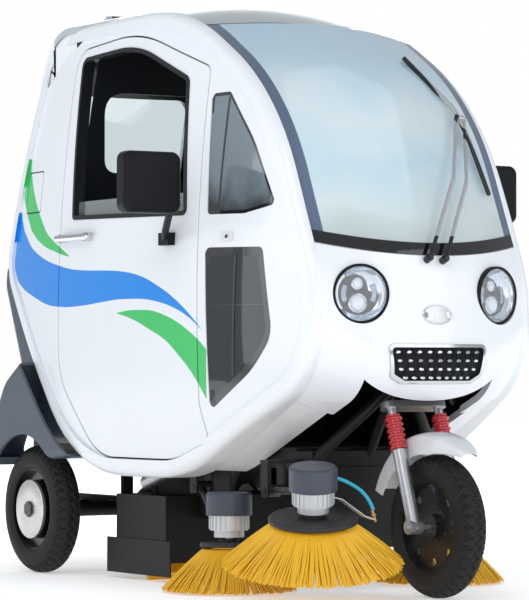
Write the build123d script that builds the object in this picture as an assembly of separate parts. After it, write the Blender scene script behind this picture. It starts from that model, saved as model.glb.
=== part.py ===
from build123d import *
import os
from math import atan2, cos, hypot, pi, radians, sin, tan

# Compact electric road sweeper with one steered front wheel and an enclosed single-seat cab.
# Millimetres, +Z up, the ground at Z 0. The front faces -Y and +X is the vehicle's left.
# Every station below is measured backwards along Y from the front axle.
# The whole model is moved forward on export, so that Y 0 is the middle of its length.

# Wheels
WHEELBASE = 1900
TYRE_RADIUS = 240
FRONT_TYRE_WIDTH = 108
REAR_TYRE_WIDTH = 115
RIM_RADIUS = 152
RIM_WALL = 5
REAR_TRACK = 980
HUBCAP_RADIUS = 112
HUBCAP_THICKNESS = 3

# Front fork and steering
RAKE = 19
STEER_OFFSET = 20
STEER_LIMIT = 30
LEG_SPREAD = 96
LEG_RADIUS = 19
LEG_TOP = 400
SPRING_RADIUS = 30
SPRING_WIRE = 6
SPRING_LENGTH = 120
SPRING_TURNS = 6
AXLE_RADIUS = 9
HEAD_TUBE_RADIUS = 30
HEAD_TUBE_LENGTH = 150
STEERING_WHEEL_RADIUS = 185
STEERING_WHEEL_GRIP = 14
STEERING_WHEEL_AT = (0, 545, 1195)
STEERING_WHEEL_TILT = 35

# Body: both side shells are cut from one large ball, so the sides bulge and lean in
HALF_IN = 410
HALF_WIDTH = 560
SIDE_BALL_RADIUS = 6100
WIDEST_STATION = 1250
WIDEST_HEIGHT = 800
SHELL_WALL = 36
RING_BORDER = 62
RING_STEP = 12
EDGE_ROUND = 34
SEAM = 6
SEAL_FOOT = 12
SEAL_LAP = 10
SEAL_STEP = 2
PANEL_WALL = 24
GLASS = 6
MAT = 0.3

# Side view outline of the body, as corners and the radius that rounds each one
# columns: side station, side height, side radius, middle station, middle height, middle radius
BODY_CORNERS = [
    (951, 2058, 1000, 930, 2116, 1050),
    (359, 1711, 950, 289, 1721, 1000),
    (72, 1066, 420, 28, 1136, 400),
    (72, 744, 300, -38, 690, 150),
    (793, 383, 800, 793, 383, 800),
    (1557, 383, 750, 1557, 383, 750),
    (2261, 1143, 190, 2330, 1143, 190),
    (2016, 2058, 240, 2080, 2116, 240),
]

# Door in the side view; columns: station, height, radius
DOOR_CORNERS = [
    (745, 1818, 36),
    (692, 640, 120),
    (640, 520, 30),
    (850, 452, 400),
    (1380, 452, 300),
    (1690, 740, 250),
    (1745, 1955, 90),
    (1250, 1984, 900),
]
DOOR_WINDOW = [
    (790, 1302, 25),
    (1615, 1318, 22),
    (1692, 1928, 35),
    (1250, 1944, 700),
    (862, 1793, 45),
]
UPPER_QUARTER = [
    (712, 1724, 22),
    (606, 1724, 20),
    (440, 1545, 500),
    (300, 1322, 18),
    (464, 1296, 60),
    (670, 1300, 18),
]
LOWER_QUARTER = [
    (672, 1186, 25),
    (355, 1180, 25),
    (292, 880, 100),
    (390, 765, 400),
    (628, 620, 24),
]
DOOR_RANGE = 70
DOOR_AXIS_STATION = 636
DOOR_AXIS_OUT = 562
WINDOW_RUBBER = 16
GLASS_DROP_TOP = 1385

# Upright lines that split the centre panels; station and height of the lines in the side view
SCREEN_TOP_LINE = ((730, 1990), (824, 1975))
SCREEN_BASE_LINE = ((35, 1150), (127, 1190))
NOSE_END = 240
SKIRT_END = 760
SKIRT_IN = 285
ROOF_END = 1960
HATCH_BASE = 1190
HATCH_RANGE = 75
HATCH_HINGE_X = 150
HATCH_AXIS = (1962, 2120)
HATCH_PIN = 4
HATCH_KNUCKLE = 8

# Lamps and grille on the nose
LAMP_X = 278
LAMP_HEIGHT = 1017
LAMP_RADIUS = 100
LAMP_BEZEL = 9
LAMP_DEPTH = 62
LAMP_TURN = 14
LAMP_PROUD = 9
GRILLE_HEIGHT = 783
GRILLE_TALL = 128
GRILLE_TOP_HALF = 196
GRILLE_BASE_HALF = 140
ARCH_HALF = 262
ARCH_HEIGHT = 586
ARCH_ROUND = 150
ARCH_LIP = 50

# Chassis
RAIL_X = 250
RAIL_TALL = 60
RAIL_WIDE = 40
RAIL_WALL = 4
RAIL_BASE = 425
RAIL_FRONT = 360
RAIL_REAR = 2260
FLOOR_THICKNESS = 12
REAR_AXLE_RADIUS = 32
REAR_STUB_RADIUS = 12
DIFFERENTIAL_RADIUS = 85
HUB_RADIUS = 42
BUMPER_STATION = 2420

# Side brushes; columns: name, x, station, lift off the ground, lean, tip radius, tine height,
# disc radius, turn of the lean away from straight ahead, arm reach, lowest and highest arm angle
SIDE_BRUSHES = [
    ("front", -457, 62, 122, 12, 303, 145, 148, -31.8, 383, -4, 10),
    ("right", -440, 622, 3, 0, 235, 150, 101, 0, 298, 0, 7),
    ("left", 440, 622, 3, 0, 235, 150, 101, 0, 298, 0, 7),
]
DISC_THICKNESS = 16
TINE_COUNT = 30
MOTOR_RADIUS = 80
MOTOR_CAP = 70
MOTOR_BODY = 55
BRUSH_SHAFT_RADIUS = 12

# Main roller brush
ROLLER_STATION = 1290
ROLLER_RADIUS = 128
ROLLER_CORE = 55
ROLLER_LENGTH = 760
ROLLER_ROWS = 10
ROLLER_SHAFT = 14

# Places and sizes of the single pieces
SIDE_CORNERS = [(row[0], row[1], row[2]) for row in BODY_CORNERS]
FAR = 700
FLAP_AT = (2008, 1440)
FLAP_SIZE = (146, 150)
FLAP_THICKNESS = 4
FLAP_DEPTH = 40
FLAP_SEAM = 5
HANDLE_FRONT = 1432
HANDLE_REAR = 1684
HANDLE_HEIGHT = 1250
HANDLE_RADIUS = 13
HANDLE_STAND = 28
MIRROR_BASE = (888, 1222)
MIRROR_HEAD_X = (602, 828)
MIRROR_HEAD_Z = (1300, 1512)
MIRROR_HEAD_Y = (664, 722)
MIRROR_ARM_RADIUS = 13
REAR_WINDOW_HALF = 270
REAR_WINDOW_Z = (1480, 1830)
LAMP_BOWL = 42
LAMP_BARRELS = ((0, 44), (-38, -10), (38, -10), (0, -52))
LAMP_BARREL_RADIUS = 19
CROSS_STATIONS = (420, 900, 1640, 2220)
OUTRIGGER_STATIONS = (1000, 1070)
OUTRIGGER_BASE = 383 + SHELL_WALL + 8 + MAT
HEAD_TUBE_BASE = 452
STEM_RADIUS = 17
YOKE_THICKNESS = 22
GUARD_GAP = 72
GUARD_WALL = 5
GUARD_FRONT_ANGLE = 52
GUARD_REAR_ANGLE = 22
FENDER_CORNERS = [
    (1478, 449, 12),
    (2150, 400, 30),
    (2236, 440, 40),
    (2060, 720, 150),
    (1880, 830, 120),
    (1660, 700, 80),
]
FENDER_IN = 408.3
FENDER_OUT = 578
FENDER_WALL = 12
FENDER_ROUND = 30
ARCH_REAR_RADIUS = 282
REAR_BODY_CORNERS = [
    (1650, 1180, 20),
    (1650, 485.3, 40),
    (2090, 485.3, 40),
    (2200, 640, 90),
    (2395, 1090, 120),
    (2380, 1180, 20),
]
TINE_ROOT_SHARE = 0.72
MOTOR_ABOVE_TINES = 4 + DISC_THICKNESS + 10 + 6
BRUSH_PIVOT_X = 372
BRUSH_PIVOT_HEIGHT = 352
BRUSH_PIN_RADIUS = 9
BRUSH_EYE_RADIUS = 20
BRUSH_EYE_HALF = 26
ROLLER_HEIGHT = 130
HOUSING_FRONT = 1120
HOUSING_REAR = 1480
HOUSING_TOP = 310
HOUSING_HALF = 404
HOUSING_WALL = 5
FLAP_RUBBER = 6
TUBE_LOW = (-362, 1330, 352)
TUBE_HIGH = (-362, 1150, 408)
TUBE_RADIUS = 27
FLOOR_HALF = 280
CAB_FRONT = 440
INNER_CLEAR = RING_STEP + SHELL_WALL + SEAM
CAB_REAR = 1648
SEAT_BASE = 760
SEAT_FRONT = 1080
SEAT_REAR = 1560
DASH_CORNERS = [
    (440, 1160, 30),
    (-100, 1136, 1),
    (-100, 1122, 1),
    (215, 1120, 20),
    (215, 800, 40),
    (420, 700, 40),
    (520, 1010, 40),
]
COLUMN_RADIUS = 24
COLUMN_BORE = 14
COLUMN_LENGTH = 290
HUB_DROP = 62
WIPER_PIVOTS = ((-25, 1133), (39, 1130))
WIPER_KNEES = ((143, 108, 1418), (198, 110, 1405))
WIPER_TIPS = ((279, 286, 1646), (320, 294, 1640))
WIPER_BLADE = ((230, 535, 1867), (296, 328, 1678), (304, 250, 1572), (327, 160, 1372))
TAIL_LAMP_X = 300
TAIL_LAMP_HEIGHT = 1030
TAIL_LAMP_SIZE = (120, 64)


def side_plane(x):
    return Plane(origin=(x, 0, 0), x_dir=(0, 1, 0), z_dir=(1, 0, 0))


def inset_corners(corners, inset):
    # corners run anticlockwise in the side view; each edge moves inwards by the inset
    count = len(corners)
    moved = []
    for i in range(count):
        before, here, after = corners[i - 1], corners[i], corners[(i + 1) % count]
        a1 = atan2(here[1] - before[1], here[0] - before[0])
        a2 = atan2(after[1] - here[1], after[0] - here[0])
        turn = (a2 - a1 + pi) % (2 * pi) - pi
        reach = inset / cos(turn / 2)
        inwards = a1 + turn / 2 + pi / 2
        radius = max(here[2] - inset, 2)
        moved.append((here[0] + reach * cos(inwards), here[1] + reach * sin(inwards), radius))
    return moved


def outline(corners, x=0, inset=0):
    # a closed face in the side view at one x, its corners rounded by their own radii
    rows = inset_corners(corners, inset)
    points = [(row[0], row[1]) for row in rows]
    wire = FilletPolyline(*points, radius=[row[2] for row in rows], close=True)
    return side_plane(x) * make_face(wire)


def prism(corners, x_from, x_to, inset=0):
    return extrude(outline(corners, x_from, inset), x_to - x_from, dir=(1, 0, 0))


def side_ball(side, inset=0):
    # the curved outer surface of one side, moved inwards by the inset
    centre = (side * (HALF_WIDTH - SIDE_BALL_RADIUS), WIDEST_STATION, WIDEST_HEIGHT)
    return Pos(*centre) * Rot(0, 0, 180) * Sphere(SIDE_BALL_RADIUS - inset)


def surface_x(station, height, inset=0):
    # distance from the middle of the vehicle to the side surface
    drop = hypot(station - WIDEST_STATION, height - WIDEST_HEIGHT)
    return HALF_WIDTH - SIDE_BALL_RADIUS + (
        (SIDE_BALL_RADIUS - inset) ** 2 - drop**2
    ) ** 0.5


def core(inset):
    # the centre body between the side shells, a loft of side, middle and side outlines
    side = [(row[0], row[1], row[2]) for row in BODY_CORNERS]
    middle = [(row[3], row[4], row[5]) for row in BODY_CORNERS]
    half = HALF_IN - MAT
    sections = [
        outline(side, -half, inset),
        outline(middle, 0, inset),
        outline(side, half, inset),
    ]
    return loft(sections)


def line_height(line, station):
    (y1, z1), (y2, z2) = line
    return z1 + (z2 - z1) * (station - y1) / (y2 - y1)


def zone(points, half=700):
    # a prism right across the vehicle, used to cut one panel out of the centre body
    face = side_plane(-half) * make_face(Polyline(*points, close=True))
    return extrude(face, 2 * half, dir=(1, 0, 0))


def rod(start, end, radius):
    # a round bar between two points
    a, b = Vector(*start), Vector(*end)
    return Plane(origin=a, z_dir=b - a) * Cylinder(
        radius, (b - a).length, align=(Align.CENTER, Align.CENTER, Align.MIN)
    )


def block(low, high):
    # a box between two opposite corners
    size = [high[i] - low[i] for i in range(3)]
    return Pos(*[(high[i] + low[i]) / 2 for i in range(3)]) * Box(*size)


def across(x_from, x_to, station, height, radius):
    # a round bar that runs from one side towards the other
    return rod((x_from, station, height), (x_to, station, height), radius)


def mirrored(shape):
    return mirror(shape, about=Plane.YZ)


def flap_corners(grow=0):
    half_y, half_z = FLAP_SIZE[0] / 2 + grow, FLAP_SIZE[1] / 2 + grow
    y, z = FLAP_AT
    return [
        (y - half_y, z + half_z, 14),
        (y - half_y, z - half_z, 14),
        (y + half_y, z - half_z, 14),
        (y + half_y, z + half_z, 14),
    ]


def side_shell(with_flap):
    # the left shell: a rounded hoop with a sunken inner panel, hollow towards the cab
    heart = prism(SIDE_CORNERS, HALF_IN - 2 * EDGE_ROUND, FAR, EDGE_ROUND) & side_ball(1, EDGE_ROUND)
    shell = offset(heart.solids()[0], EDGE_ROUND, kind=Kind.ARC)
    shell -= block((0, -500, 0), (HALF_IN, 3000, 3000))
    shell -= prism(SIDE_CORNERS, HALF_IN, FAR, RING_BORDER) - side_ball(1, RING_STEP)
    shell -= prism(SIDE_CORNERS, HALF_IN - 50, FAR, SHELL_WALL + 8) & side_ball(1, SHELL_WALL)
    shell -= prism(DOOR_CORNERS, HALF_IN - 60, FAR, -SEAM)
    shell -= prism(UPPER_QUARTER, HALF_IN - 60, FAR)
    shell -= prism(LOWER_QUARTER, HALF_IN - 60, FAR)
    if with_flap:
        shell -= prism(flap_corners(FLAP_SEAM), HALF_IN - 20, FAR)
    return shell


def door_seal():
    # stepped rubber ring inside the doorway that the closed door rests on
    def ring(grow):
        return prism(DOOR_CORNERS, HALF_IN - 60, FAR, -grow)

    layer = side_ball(1, SHELL_WALL + MAT) - side_ball(1, INNER_CLEAR - MAT)
    seal = (ring(SEAM + SEAL_FOOT) - ring(-SEAL_LAP)) & layer
    seal -= ring(SEAM + SEAL_STEP) - side_ball(1, RING_STEP + SHELL_WALL + MAT)
    return seal & prism(SIDE_CORNERS, HALF_IN - 60, FAR, SHELL_WALL + 8 + MAT)


def charge_socket():
    # a shallow box behind the flap, open outwards
    y, z = FLAP_AT
    floor = surface_x(y, z, SHELL_WALL) - FLAP_DEPTH
    box = prism(flap_corners(FLAP_SEAM + 6), floor, FAR) & side_ball(1, SHELL_WALL + MAT)
    box += prism(flap_corners(FLAP_SEAM - MAT), floor, FAR) & side_ball(1, RING_STEP + FLAP_THICKNESS + MAT)
    box -= prism(flap_corners(-2), floor + 4, FAR)
    return mirrored(box + across(floor + 3, floor + FLAP_DEPTH - 8, y, z, 30))


def charge_flap():
    skin = prism(flap_corners(), HALF_IN - 20, FAR)
    skin = skin & (side_ball(1, RING_STEP) - side_ball(1, RING_STEP + FLAP_THICKNESS))
    return mirrored(skin)


def quarter_glass():
    panes = []
    for corners in (UPPER_QUARTER, LOWER_QUARTER):
        slab = prism(corners, HALF_IN - 60, FAR, MAT)
        slab = slab & (side_ball(1, RING_STEP + 3) - side_ball(1, RING_STEP + 3 + GLASS))
        panes += [slab, mirrored(slab)]
    return Compound(children=[Solid(pane.solids()[0].wrapped) for pane in panes])


def door_panel():
    outer = side_ball(1, RING_STEP) - side_ball(1, RING_STEP + SHELL_WALL)
    door = prism(DOOR_CORNERS, HALF_IN - 60, FAR) & outer
    return door - prism(DOOR_WINDOW, HALF_IN - 60, FAR)


def door_rubber():
    frame = prism(DOOR_WINDOW, HALF_IN - 60, FAR, MAT)
    frame -= prism(DOOR_WINDOW, HALF_IN - 60, FAR, WINDOW_RUBBER)
    return frame & (side_ball(1, RING_STEP - 4) - side_ball(1, RING_STEP + SHELL_WALL + 4))


def door_glass():
    middle = RING_STEP + SHELL_WALL / 2
    pane = prism(DOOR_WINDOW, HALF_IN - 60, FAR, WINDOW_RUBBER + MAT)
    pane = pane & (side_ball(1, middle) - side_ball(1, middle + GLASS))
    return pane & block((0, 0, 0), (FAR, 3000, GLASS_DROP_TOP))


def door_handle():
    # a rounded pull bar on two feet
    out = surface_x(HANDLE_FRONT, HANDLE_HEIGHT, RING_STEP) + HANDLE_STAND
    out_rear = surface_x(HANDLE_REAR, HANDLE_HEIGHT, RING_STEP) + HANDLE_STAND
    bar = rod((out, HANDLE_FRONT, HANDLE_HEIGHT), (out_rear, HANDLE_REAR, HANDLE_HEIGHT), HANDLE_RADIUS)
    bar += Pos(out, HANDLE_FRONT, HANDLE_HEIGHT) * Sphere(HANDLE_RADIUS)
    bar += Pos(out_rear, HANDLE_REAR, HANDLE_HEIGHT) * Sphere(HANDLE_RADIUS)
    for station in (HANDLE_FRONT + 22, HANDLE_REAR - 22):
        seat = surface_x(station, HANDLE_HEIGHT, RING_STEP) + MAT
        bar += across(seat - 6, seat + HANDLE_STAND, station, HANDLE_HEIGHT, HANDLE_RADIUS + 4)
    return bar - side_ball(1, RING_STEP - MAT)


def mirror_arm():
    y, z = MIRROR_BASE
    seat = surface_x(y, z, RING_STEP) + MAT + 1
    foot = block((seat - 8, y - 34, z - 22), (seat + 26, y + 34, z + 22))
    knee = (seat + 43, y - 46, z + 26)
    top = (MIRROR_HEAD_X[0] + 26, MIRROR_HEAD_Y[1] - 22, MIRROR_HEAD_Z[0] + 20)
    arm = foot + rod((seat + 16, y, z), knee, MIRROR_ARM_RADIUS)
    arm += Pos(*knee) * Sphere(MIRROR_ARM_RADIUS)
    arm += rod(knee, top, MIRROR_ARM_RADIUS)
    head = block(
        (MIRROR_HEAD_X[0], MIRROR_HEAD_Y[0], MIRROR_HEAD_Z[0]),
        (MIRROR_HEAD_X[1], MIRROR_HEAD_Y[1], MIRROR_HEAD_Z[1]),
    )
    head = fillet(head.edges().filter_by(Axis.Y), 32)
    head = fillet(head.faces().sort_by(Axis.Y)[0].edges(), 20)
    return (arm + head) - side_ball(1, RING_STEP - MAT)


def centre_skin(inset=PANEL_WALL):
    return core(0) - core(inset)


def screen_zone():
    low, top = SCREEN_BASE_LINE, SCREEN_TOP_LINE
    return zone([
        (-400, line_height(low, -400)),
        (900, line_height(low, 900)),
        (900, line_height(top, 900)),
        (-400, line_height(top, -400)),
    ])


def windshield():
    return centre_skin(GLASS) & screen_zone()


def roof_panel():
    top = SCREEN_TOP_LINE
    area = zone([
        (200, line_height(top, 200) + 3),
        (ROOF_END, line_height(top, ROOF_END) + 3),
        (ROOF_END, 2300),
        (200, 2300),
    ])
    roof = centre_skin() & area
    for side in (-1, 1):
        x, y, z = side * HATCH_HINGE_X, HATCH_AXIS[0], HATCH_AXIS[1]
        foot = block((x - 30, y - 42, z - 30), (x + 30, y - 12, z + 4)) - core(0)
        roof += foot + across(x - 30, x + 30, y, z, HATCH_PIN)
        for end in (-1, 1):
            low, high = sorted((x + end * 20, x + end * 30))
            roof += block((low, y - 14, z - 6), (high, y + 6, z + 6)) - core(-MAT)
    return roof


def lamp_frame(side):
    # on the nose surface, facing forwards and a little outwards
    turn = radians(LAMP_TURN)
    return Plane(
        origin=(side * LAMP_X, nose_station(LAMP_X), LAMP_HEIGHT),
        x_dir=(side * cos(turn), sin(turn), 0),
        z_dir=(side * sin(turn), -cos(turn), 0),
    )


def grille_face(grow=0):
    half_top = GRILLE_TOP_HALF + grow
    half_base = GRILLE_BASE_HALF + grow
    tall = GRILLE_TALL / 2 + grow
    rows = [
        (-half_top, GRILLE_HEIGHT + tall),
        (-half_top + 14, GRILLE_HEIGHT - tall + 22),
        (-half_base, GRILLE_HEIGHT - tall),
        (half_base, GRILLE_HEIGHT - tall),
        (half_top - 14, GRILLE_HEIGHT - tall + 22),
        (half_top, GRILLE_HEIGHT + tall),
    ]
    wire = FilletPolyline(*rows, radius=16 + grow / 2, close=True)
    plane = Plane(origin=(0, -300, 0), x_dir=(1, 0, 0), z_dir=(0, -1, 0))
    return plane * make_face(wire)


def grille_prism(grow, depth=900):
    return extrude(grille_face(grow), depth, dir=(0, 1, 0))


def arch_prism():
    # the opening above the steered wheel, seen from the front
    tool = block((-ARCH_HALF, -400, 100), (ARCH_HALF, 900, ARCH_HEIGHT))
    top_edges = tool.faces().sort_by(Axis.Z)[-1].edges().filter_by(Axis.Y)
    tool = fillet(top_edges, ARCH_ROUND)
    return tool + block((-ARCH_HALF, ARCH_LIP, 100), (ARCH_HALF, 900, ARCH_HEIGHT + 200))


def nose_fascia():
    low = SCREEN_BASE_LINE
    area = zone([
        (-400, line_height(low, -400) - 3),
        (-400, 480),
        (NOSE_END, 480),
        (NOSE_END, line_height(low, NOSE_END) - 3),
    ])
    nose = (centre_skin() & area) - arch_prism()
    for side in (-1, 1):
        nose -= lamp_frame(side) * Cylinder(LAMP_RADIUS, 400)
    nose -= grille_prism(3, 400)
    return nose


def nose_skirts():
    area = zone([(NOSE_END + 3, 300), (SKIRT_END, 300), (SKIRT_END, 640), (NOSE_END + 3, 760)])
    skirt = centre_skin() & area
    left = skirt & block((SKIRT_IN, 0, 0), (FAR, 1000, 1000))
    return Compound(children=[left.solids()[0], mirrored(left).solids()[0]])


def rear_hatch():
    area = zone([
        (ROOF_END + SEAM, HATCH_BASE),
        (2600, HATCH_BASE),
        (2600, 2300),
        (ROOF_END + SEAM, 2300),
    ])
    hatch = centre_skin() & area & block((-HALF_IN + SEAM, 0, 0), (HALF_IN - SEAM, 3000, 3000))
    for side in (-1, 1):
        x, y, z = side * HATCH_HINGE_X, HATCH_AXIS[0], HATCH_AXIS[1]
        strap = block((x - 19, y + 4, z - 30), (x + 19, y + 44, z + 4)) - core(0)
        hatch += strap & block((x - 19, y + 5, 0), (x + 19, y + 60, 3000))
        hatch += across(x - 19, x + 19, y, z, HATCH_KNUCKLE) - core(-MAT)
        hatch -= across(x - 19, x + 19, y, z, HATCH_PIN + MAT)
    return hatch - rear_window_tool(0)


def rear_window_tool(inset):
    low, high = REAR_WINDOW_Z
    tool = block(
        (-REAR_WINDOW_HALF + inset, 2050, low + inset),
        (REAR_WINDOW_HALF - inset, 2600, high - inset),
    )
    return fillet(tool.edges().filter_by(Axis.Y), 50 - inset)


def rear_window():
    skin = core(8) - core(8 + GLASS)
    return skin & rear_window_tool(MAT)


def headlamps():
    # round lamp cans with a bezel and four projector barrels, let into the nose
    low = (Align.CENTER, Align.CENTER, Align.MIN)
    lamps = []
    for side in (-1, 1):
        can = Pos(0, 0, -LAMP_DEPTH) * Cylinder(LAMP_RADIUS - MAT, LAMP_DEPTH + LAMP_PROUD, align=low)
        can -= Pos(0, 0, -LAMP_BOWL) * Cylinder(LAMP_RADIUS - LAMP_BEZEL, LAMP_BOWL + 50, align=low)
        for x, y in LAMP_BARRELS:
            can += Pos(x, y, -LAMP_BOWL - 1) * Cylinder(LAMP_BARREL_RADIUS, LAMP_BOWL - 12, align=low)
        lamps.append((lamp_frame(side) * can).solids()[0])
    return Compound(children=lamps)


def headlamp_lenses():
    low = (Align.CENTER, Align.CENTER, Align.MIN)
    lenses = []
    for side in (-1, 1):
        lens = Cylinder(LAMP_RADIUS - LAMP_BEZEL - MAT, 5, align=low)
        lenses.append((lamp_frame(side) * lens).solids()[0])
    return Compound(children=lenses)


def nose_station(x):
    # front of the nose at lamp height
    share = (x / HALF_IN) ** 2
    return 4 + share * 92


def grille():
    # a chrome frame with a mesh of round studs behind its opening
    frame = grille_prism(2.5, 400) - grille_prism(-8, 400)
    shell = core(-5) - core(14)
    frame = frame & shell & block((-300, -300, 600), (300, 260, 900))
    mesh = grille_prism(-8 - MAT, 400) & (core(6) - core(12)) & block((-300, -300, 600), (300, 260, 900))
    return frame, mesh


def chassis_frame():
    top = RAIL_BASE + RAIL_TALL
    frame = None
    for side in (-1, 1):
        x_in, x_out = RAIL_X - RAIL_WIDE / 2, RAIL_X + RAIL_WIDE / 2
        low, high = sorted((side * x_in, side * x_out))
        rail = block((low, RAIL_FRONT, RAIL_BASE), (high, RAIL_REAR, top))
        rail -= block(
            (low + RAIL_WALL, RAIL_FRONT - 1, RAIL_BASE + RAIL_WALL),
            (high - RAIL_WALL, RAIL_REAR + 1, top - RAIL_WALL),
        )
        frame = rail if frame is None else frame + rail
    for station in CROSS_STATIONS:
        frame += block(
            (-RAIL_X + RAIL_WIDE / 2, station - 20, RAIL_BASE),
            (RAIL_X - RAIL_WIDE / 2, station + 20, top),
        )
    head = steering_point(HEAD_TUBE_BASE), steering_point(HEAD_TUBE_BASE + HEAD_TUBE_LENGTH)
    frame += rod(head[0], head[1], HEAD_TUBE_RADIUS)
    for side in (-1, 1):
        start = (side * RAIL_X, RAIL_FRONT + 20, RAIL_BASE + RAIL_TALL / 2)
        end = steering_point(HEAD_TUBE_BASE + HEAD_TUBE_LENGTH / 2)
        frame += rod(start, (side * 12, end[1] + 4, end[2]), 20)
    upper = steering_point(HEAD_TUBE_BASE + HEAD_TUBE_LENGTH - 30)
    frame += rod((0, upper[1] + 10, upper[2]), (0, CROSS_STATIONS[0], top - 24), 18)
    for side in (-1, 1):
        for station in OUTRIGGER_STATIONS:
            low, high = sorted((side * (RAIL_X + RAIL_WIDE / 2 - 1), side * (HALF_IN + 55)))
            frame += block((low, station - 20, OUTRIGGER_BASE), (high, station + 20, OUTRIGGER_BASE + 13))
    stem_base = steering_point(HEAD_TUBE_BASE - 5)
    stem_top = steering_point(HEAD_TUBE_BASE + HEAD_TUBE_LENGTH + 5)
    frame -= rod(stem_base, stem_top, STEM_RADIUS + MAT)
    return frame


def steering_point(reach):
    # a point on the steering axis, measured up from the axle height
    tilt = radians(RAKE)
    return (0, STEER_OFFSET + reach * sin(tilt), TYRE_RADIUS + reach * cos(tilt))


def leg_point(side, reach):
    tilt = radians(RAKE)
    return (side * LEG_SPREAD, reach * sin(tilt), TYRE_RADIUS + reach * cos(tilt))


def fork():
    # two telescopic legs, the yoke that joins them and the stem in the head tube
    parts = None
    for side in (-1, 1):
        lower = rod(leg_point(side, -12), leg_point(side, 268), LEG_RADIUS + 4)
        upper = rod(leg_point(side, 260), leg_point(side, LEG_TOP + 38), LEG_RADIUS - 4)
        eye = across(side * (LEG_SPREAD - 24), side * (LEG_SPREAD + 26), 0, TYRE_RADIUS, 24)
        leg = lower + upper + eye
        parts = leg if parts is None else parts + leg
    tilt = radians(RAKE)
    yoke = Box(2 * LEG_SPREAD + 60, 62, YOKE_THICKNESS)
    yoke = fillet(yoke.edges().filter_by(Axis.Z), 26)
    place = leg_point(0, LEG_TOP + 25)
    yoke = Plane(origin=(0, place[1] + 8, place[2]), x_dir=(1, 0, 0), z_dir=(0, sin(tilt), cos(tilt))) * yoke
    parts += yoke
    stem_top = steering_point(HEAD_TUBE_BASE + HEAD_TUBE_LENGTH + 20)
    parts += rod(steering_point(LEG_TOP + 14), stem_top, STEM_RADIUS)
    return parts


def fork_springs():
    coils = []
    for side in (-1, 1):
        start = leg_point(side, 272)
        tilt = radians(RAKE)
        frame = Plane(origin=start, x_dir=(1, 0, 0), z_dir=(0, sin(tilt), cos(tilt)))
        rings = None
        for i in range(SPRING_TURNS):
            ring = Pos(0, 0, SPRING_WIRE + i * SPRING_LENGTH / SPRING_TURNS) * Torus(
                SPRING_RADIUS - SPRING_WIRE, SPRING_WIRE
            )
            rings = ring if rings is None else rings + ring
        sleeve = Cylinder(
            SPRING_RADIUS - SPRING_WIRE, SPRING_LENGTH, align=(Align.CENTER, Align.CENTER, Align.MIN)
        ) - Cylinder(LEG_RADIUS - 4 + MAT, SPRING_LENGTH, align=(Align.CENTER, Align.CENTER, Align.MIN))
        coils.append((frame * (rings + sleeve)).solids()[0])
    return Compound(children=coils)


def front_mudguard():
    # an arched guard over the tyre, between the legs, with a stay to each leg
    inner = TYRE_RADIUS + GUARD_GAP
    half = FRONT_TYRE_WIDTH / 2 + 8
    guard = across(-half, half, 0, TYRE_RADIUS, inner + GUARD_WALL) - across(
        -half - 1, half + 1, 0, TYRE_RADIUS, inner
    )
    reach = 900
    front, back = radians(GUARD_FRONT_ANGLE), radians(GUARD_REAR_ANGLE)
    guard &= zone([
        (0, TYRE_RADIUS),
        (-reach, TYRE_RADIUS + reach * tan(front)),
        (reach, TYRE_RADIUS + reach * tan(front)),
        (reach, TYRE_RADIUS + reach * tan(back)),
    ])
    station = leg_point(1, 275)[1]
    top = TYRE_RADIUS + (inner**2 - (station + 14) ** 2) ** 0.5 + 4
    for side in (-1, 1):
        low, high = sorted((side * (half - 1), side * (LEG_SPREAD - SPRING_RADIUS - MAT)))
        guard += block((low, station - 14, top - 5), (high, station + 14, top))
    return guard


def tyre(width, x=0, station=0):
    # round shouldered tyre with a cut tread
    half = width / 2
    profile = [
        (RIM_RADIUS, -half + 16, 3),
        (TYRE_RADIUS - 46, -half, 26),
        (TYRE_RADIUS - 9, -half + 10, 16),
        (TYRE_RADIUS, -half + 32, 30),
        (TYRE_RADIUS, half - 32, 30),
        (TYRE_RADIUS - 9, half - 10, 16),
        (TYRE_RADIUS - 46, half, 26),
        (RIM_RADIUS, half - 16, 3),
    ]
    wire = FilletPolyline(
        *[(row[1], row[0]) for row in profile], radius=[row[2] for row in profile], close=True
    )
    ring = revolve(Plane.XY * make_face(wire), Axis.X, 360)
    return Pos(x, station, TYRE_RADIUS) * ring


def rim(width, x, station, outer_side, hole_count, shaft_radius):
    # pressed steel rim: barrel, two flanges, a dished web with oval holes and a hub
    half = width / 2 - 16 - MAT
    barrel = across(-half, half, 0, 0, RIM_RADIUS) - across(-half - 1, half + 1, 0, 0, RIM_RADIUS - RIM_WALL)
    web_x = outer_side * 12
    low, high = sorted((web_x, web_x + outer_side * RIM_WALL))
    web = across(low, high, 0, 0, RIM_RADIUS - 2)
    wheel = barrel + web + across(-34, 34, 0, 0, HUB_RADIUS)
    for i in range(hole_count):
        hole = across(-60, 60, 118, 0, 13)
        wheel -= Rot(360 * i / hole_count, 0, 0) * hole
    wheel -= across(-60, 60, 0, 0, shaft_radius + MAT)
    return Pos(x, station, TYRE_RADIUS) * wheel


def hubcap(side):
    # bright cover disc with the dark hexagonal hub cap in its middle
    x = side * (REAR_TRACK / 2 + 30)
    disc = across(x, x + side * HUBCAP_THICKNESS, WHEELBASE, TYRE_RADIUS, HUBCAP_RADIUS)
    nut = Plane(origin=(x, WHEELBASE, TYRE_RADIUS), z_dir=(side, 0, 0)) * extrude(RegularPolygon(30, 6), 34)
    post = across(side * (REAR_TRACK / 2 + 17 + RIM_WALL), x, WHEELBASE, TYRE_RADIUS, 26)
    return disc + nut + post


def front_axle():
    return across(-LEG_SPREAD - 34, LEG_SPREAD + 34, 0, TYRE_RADIUS, AXLE_RADIUS)


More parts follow.
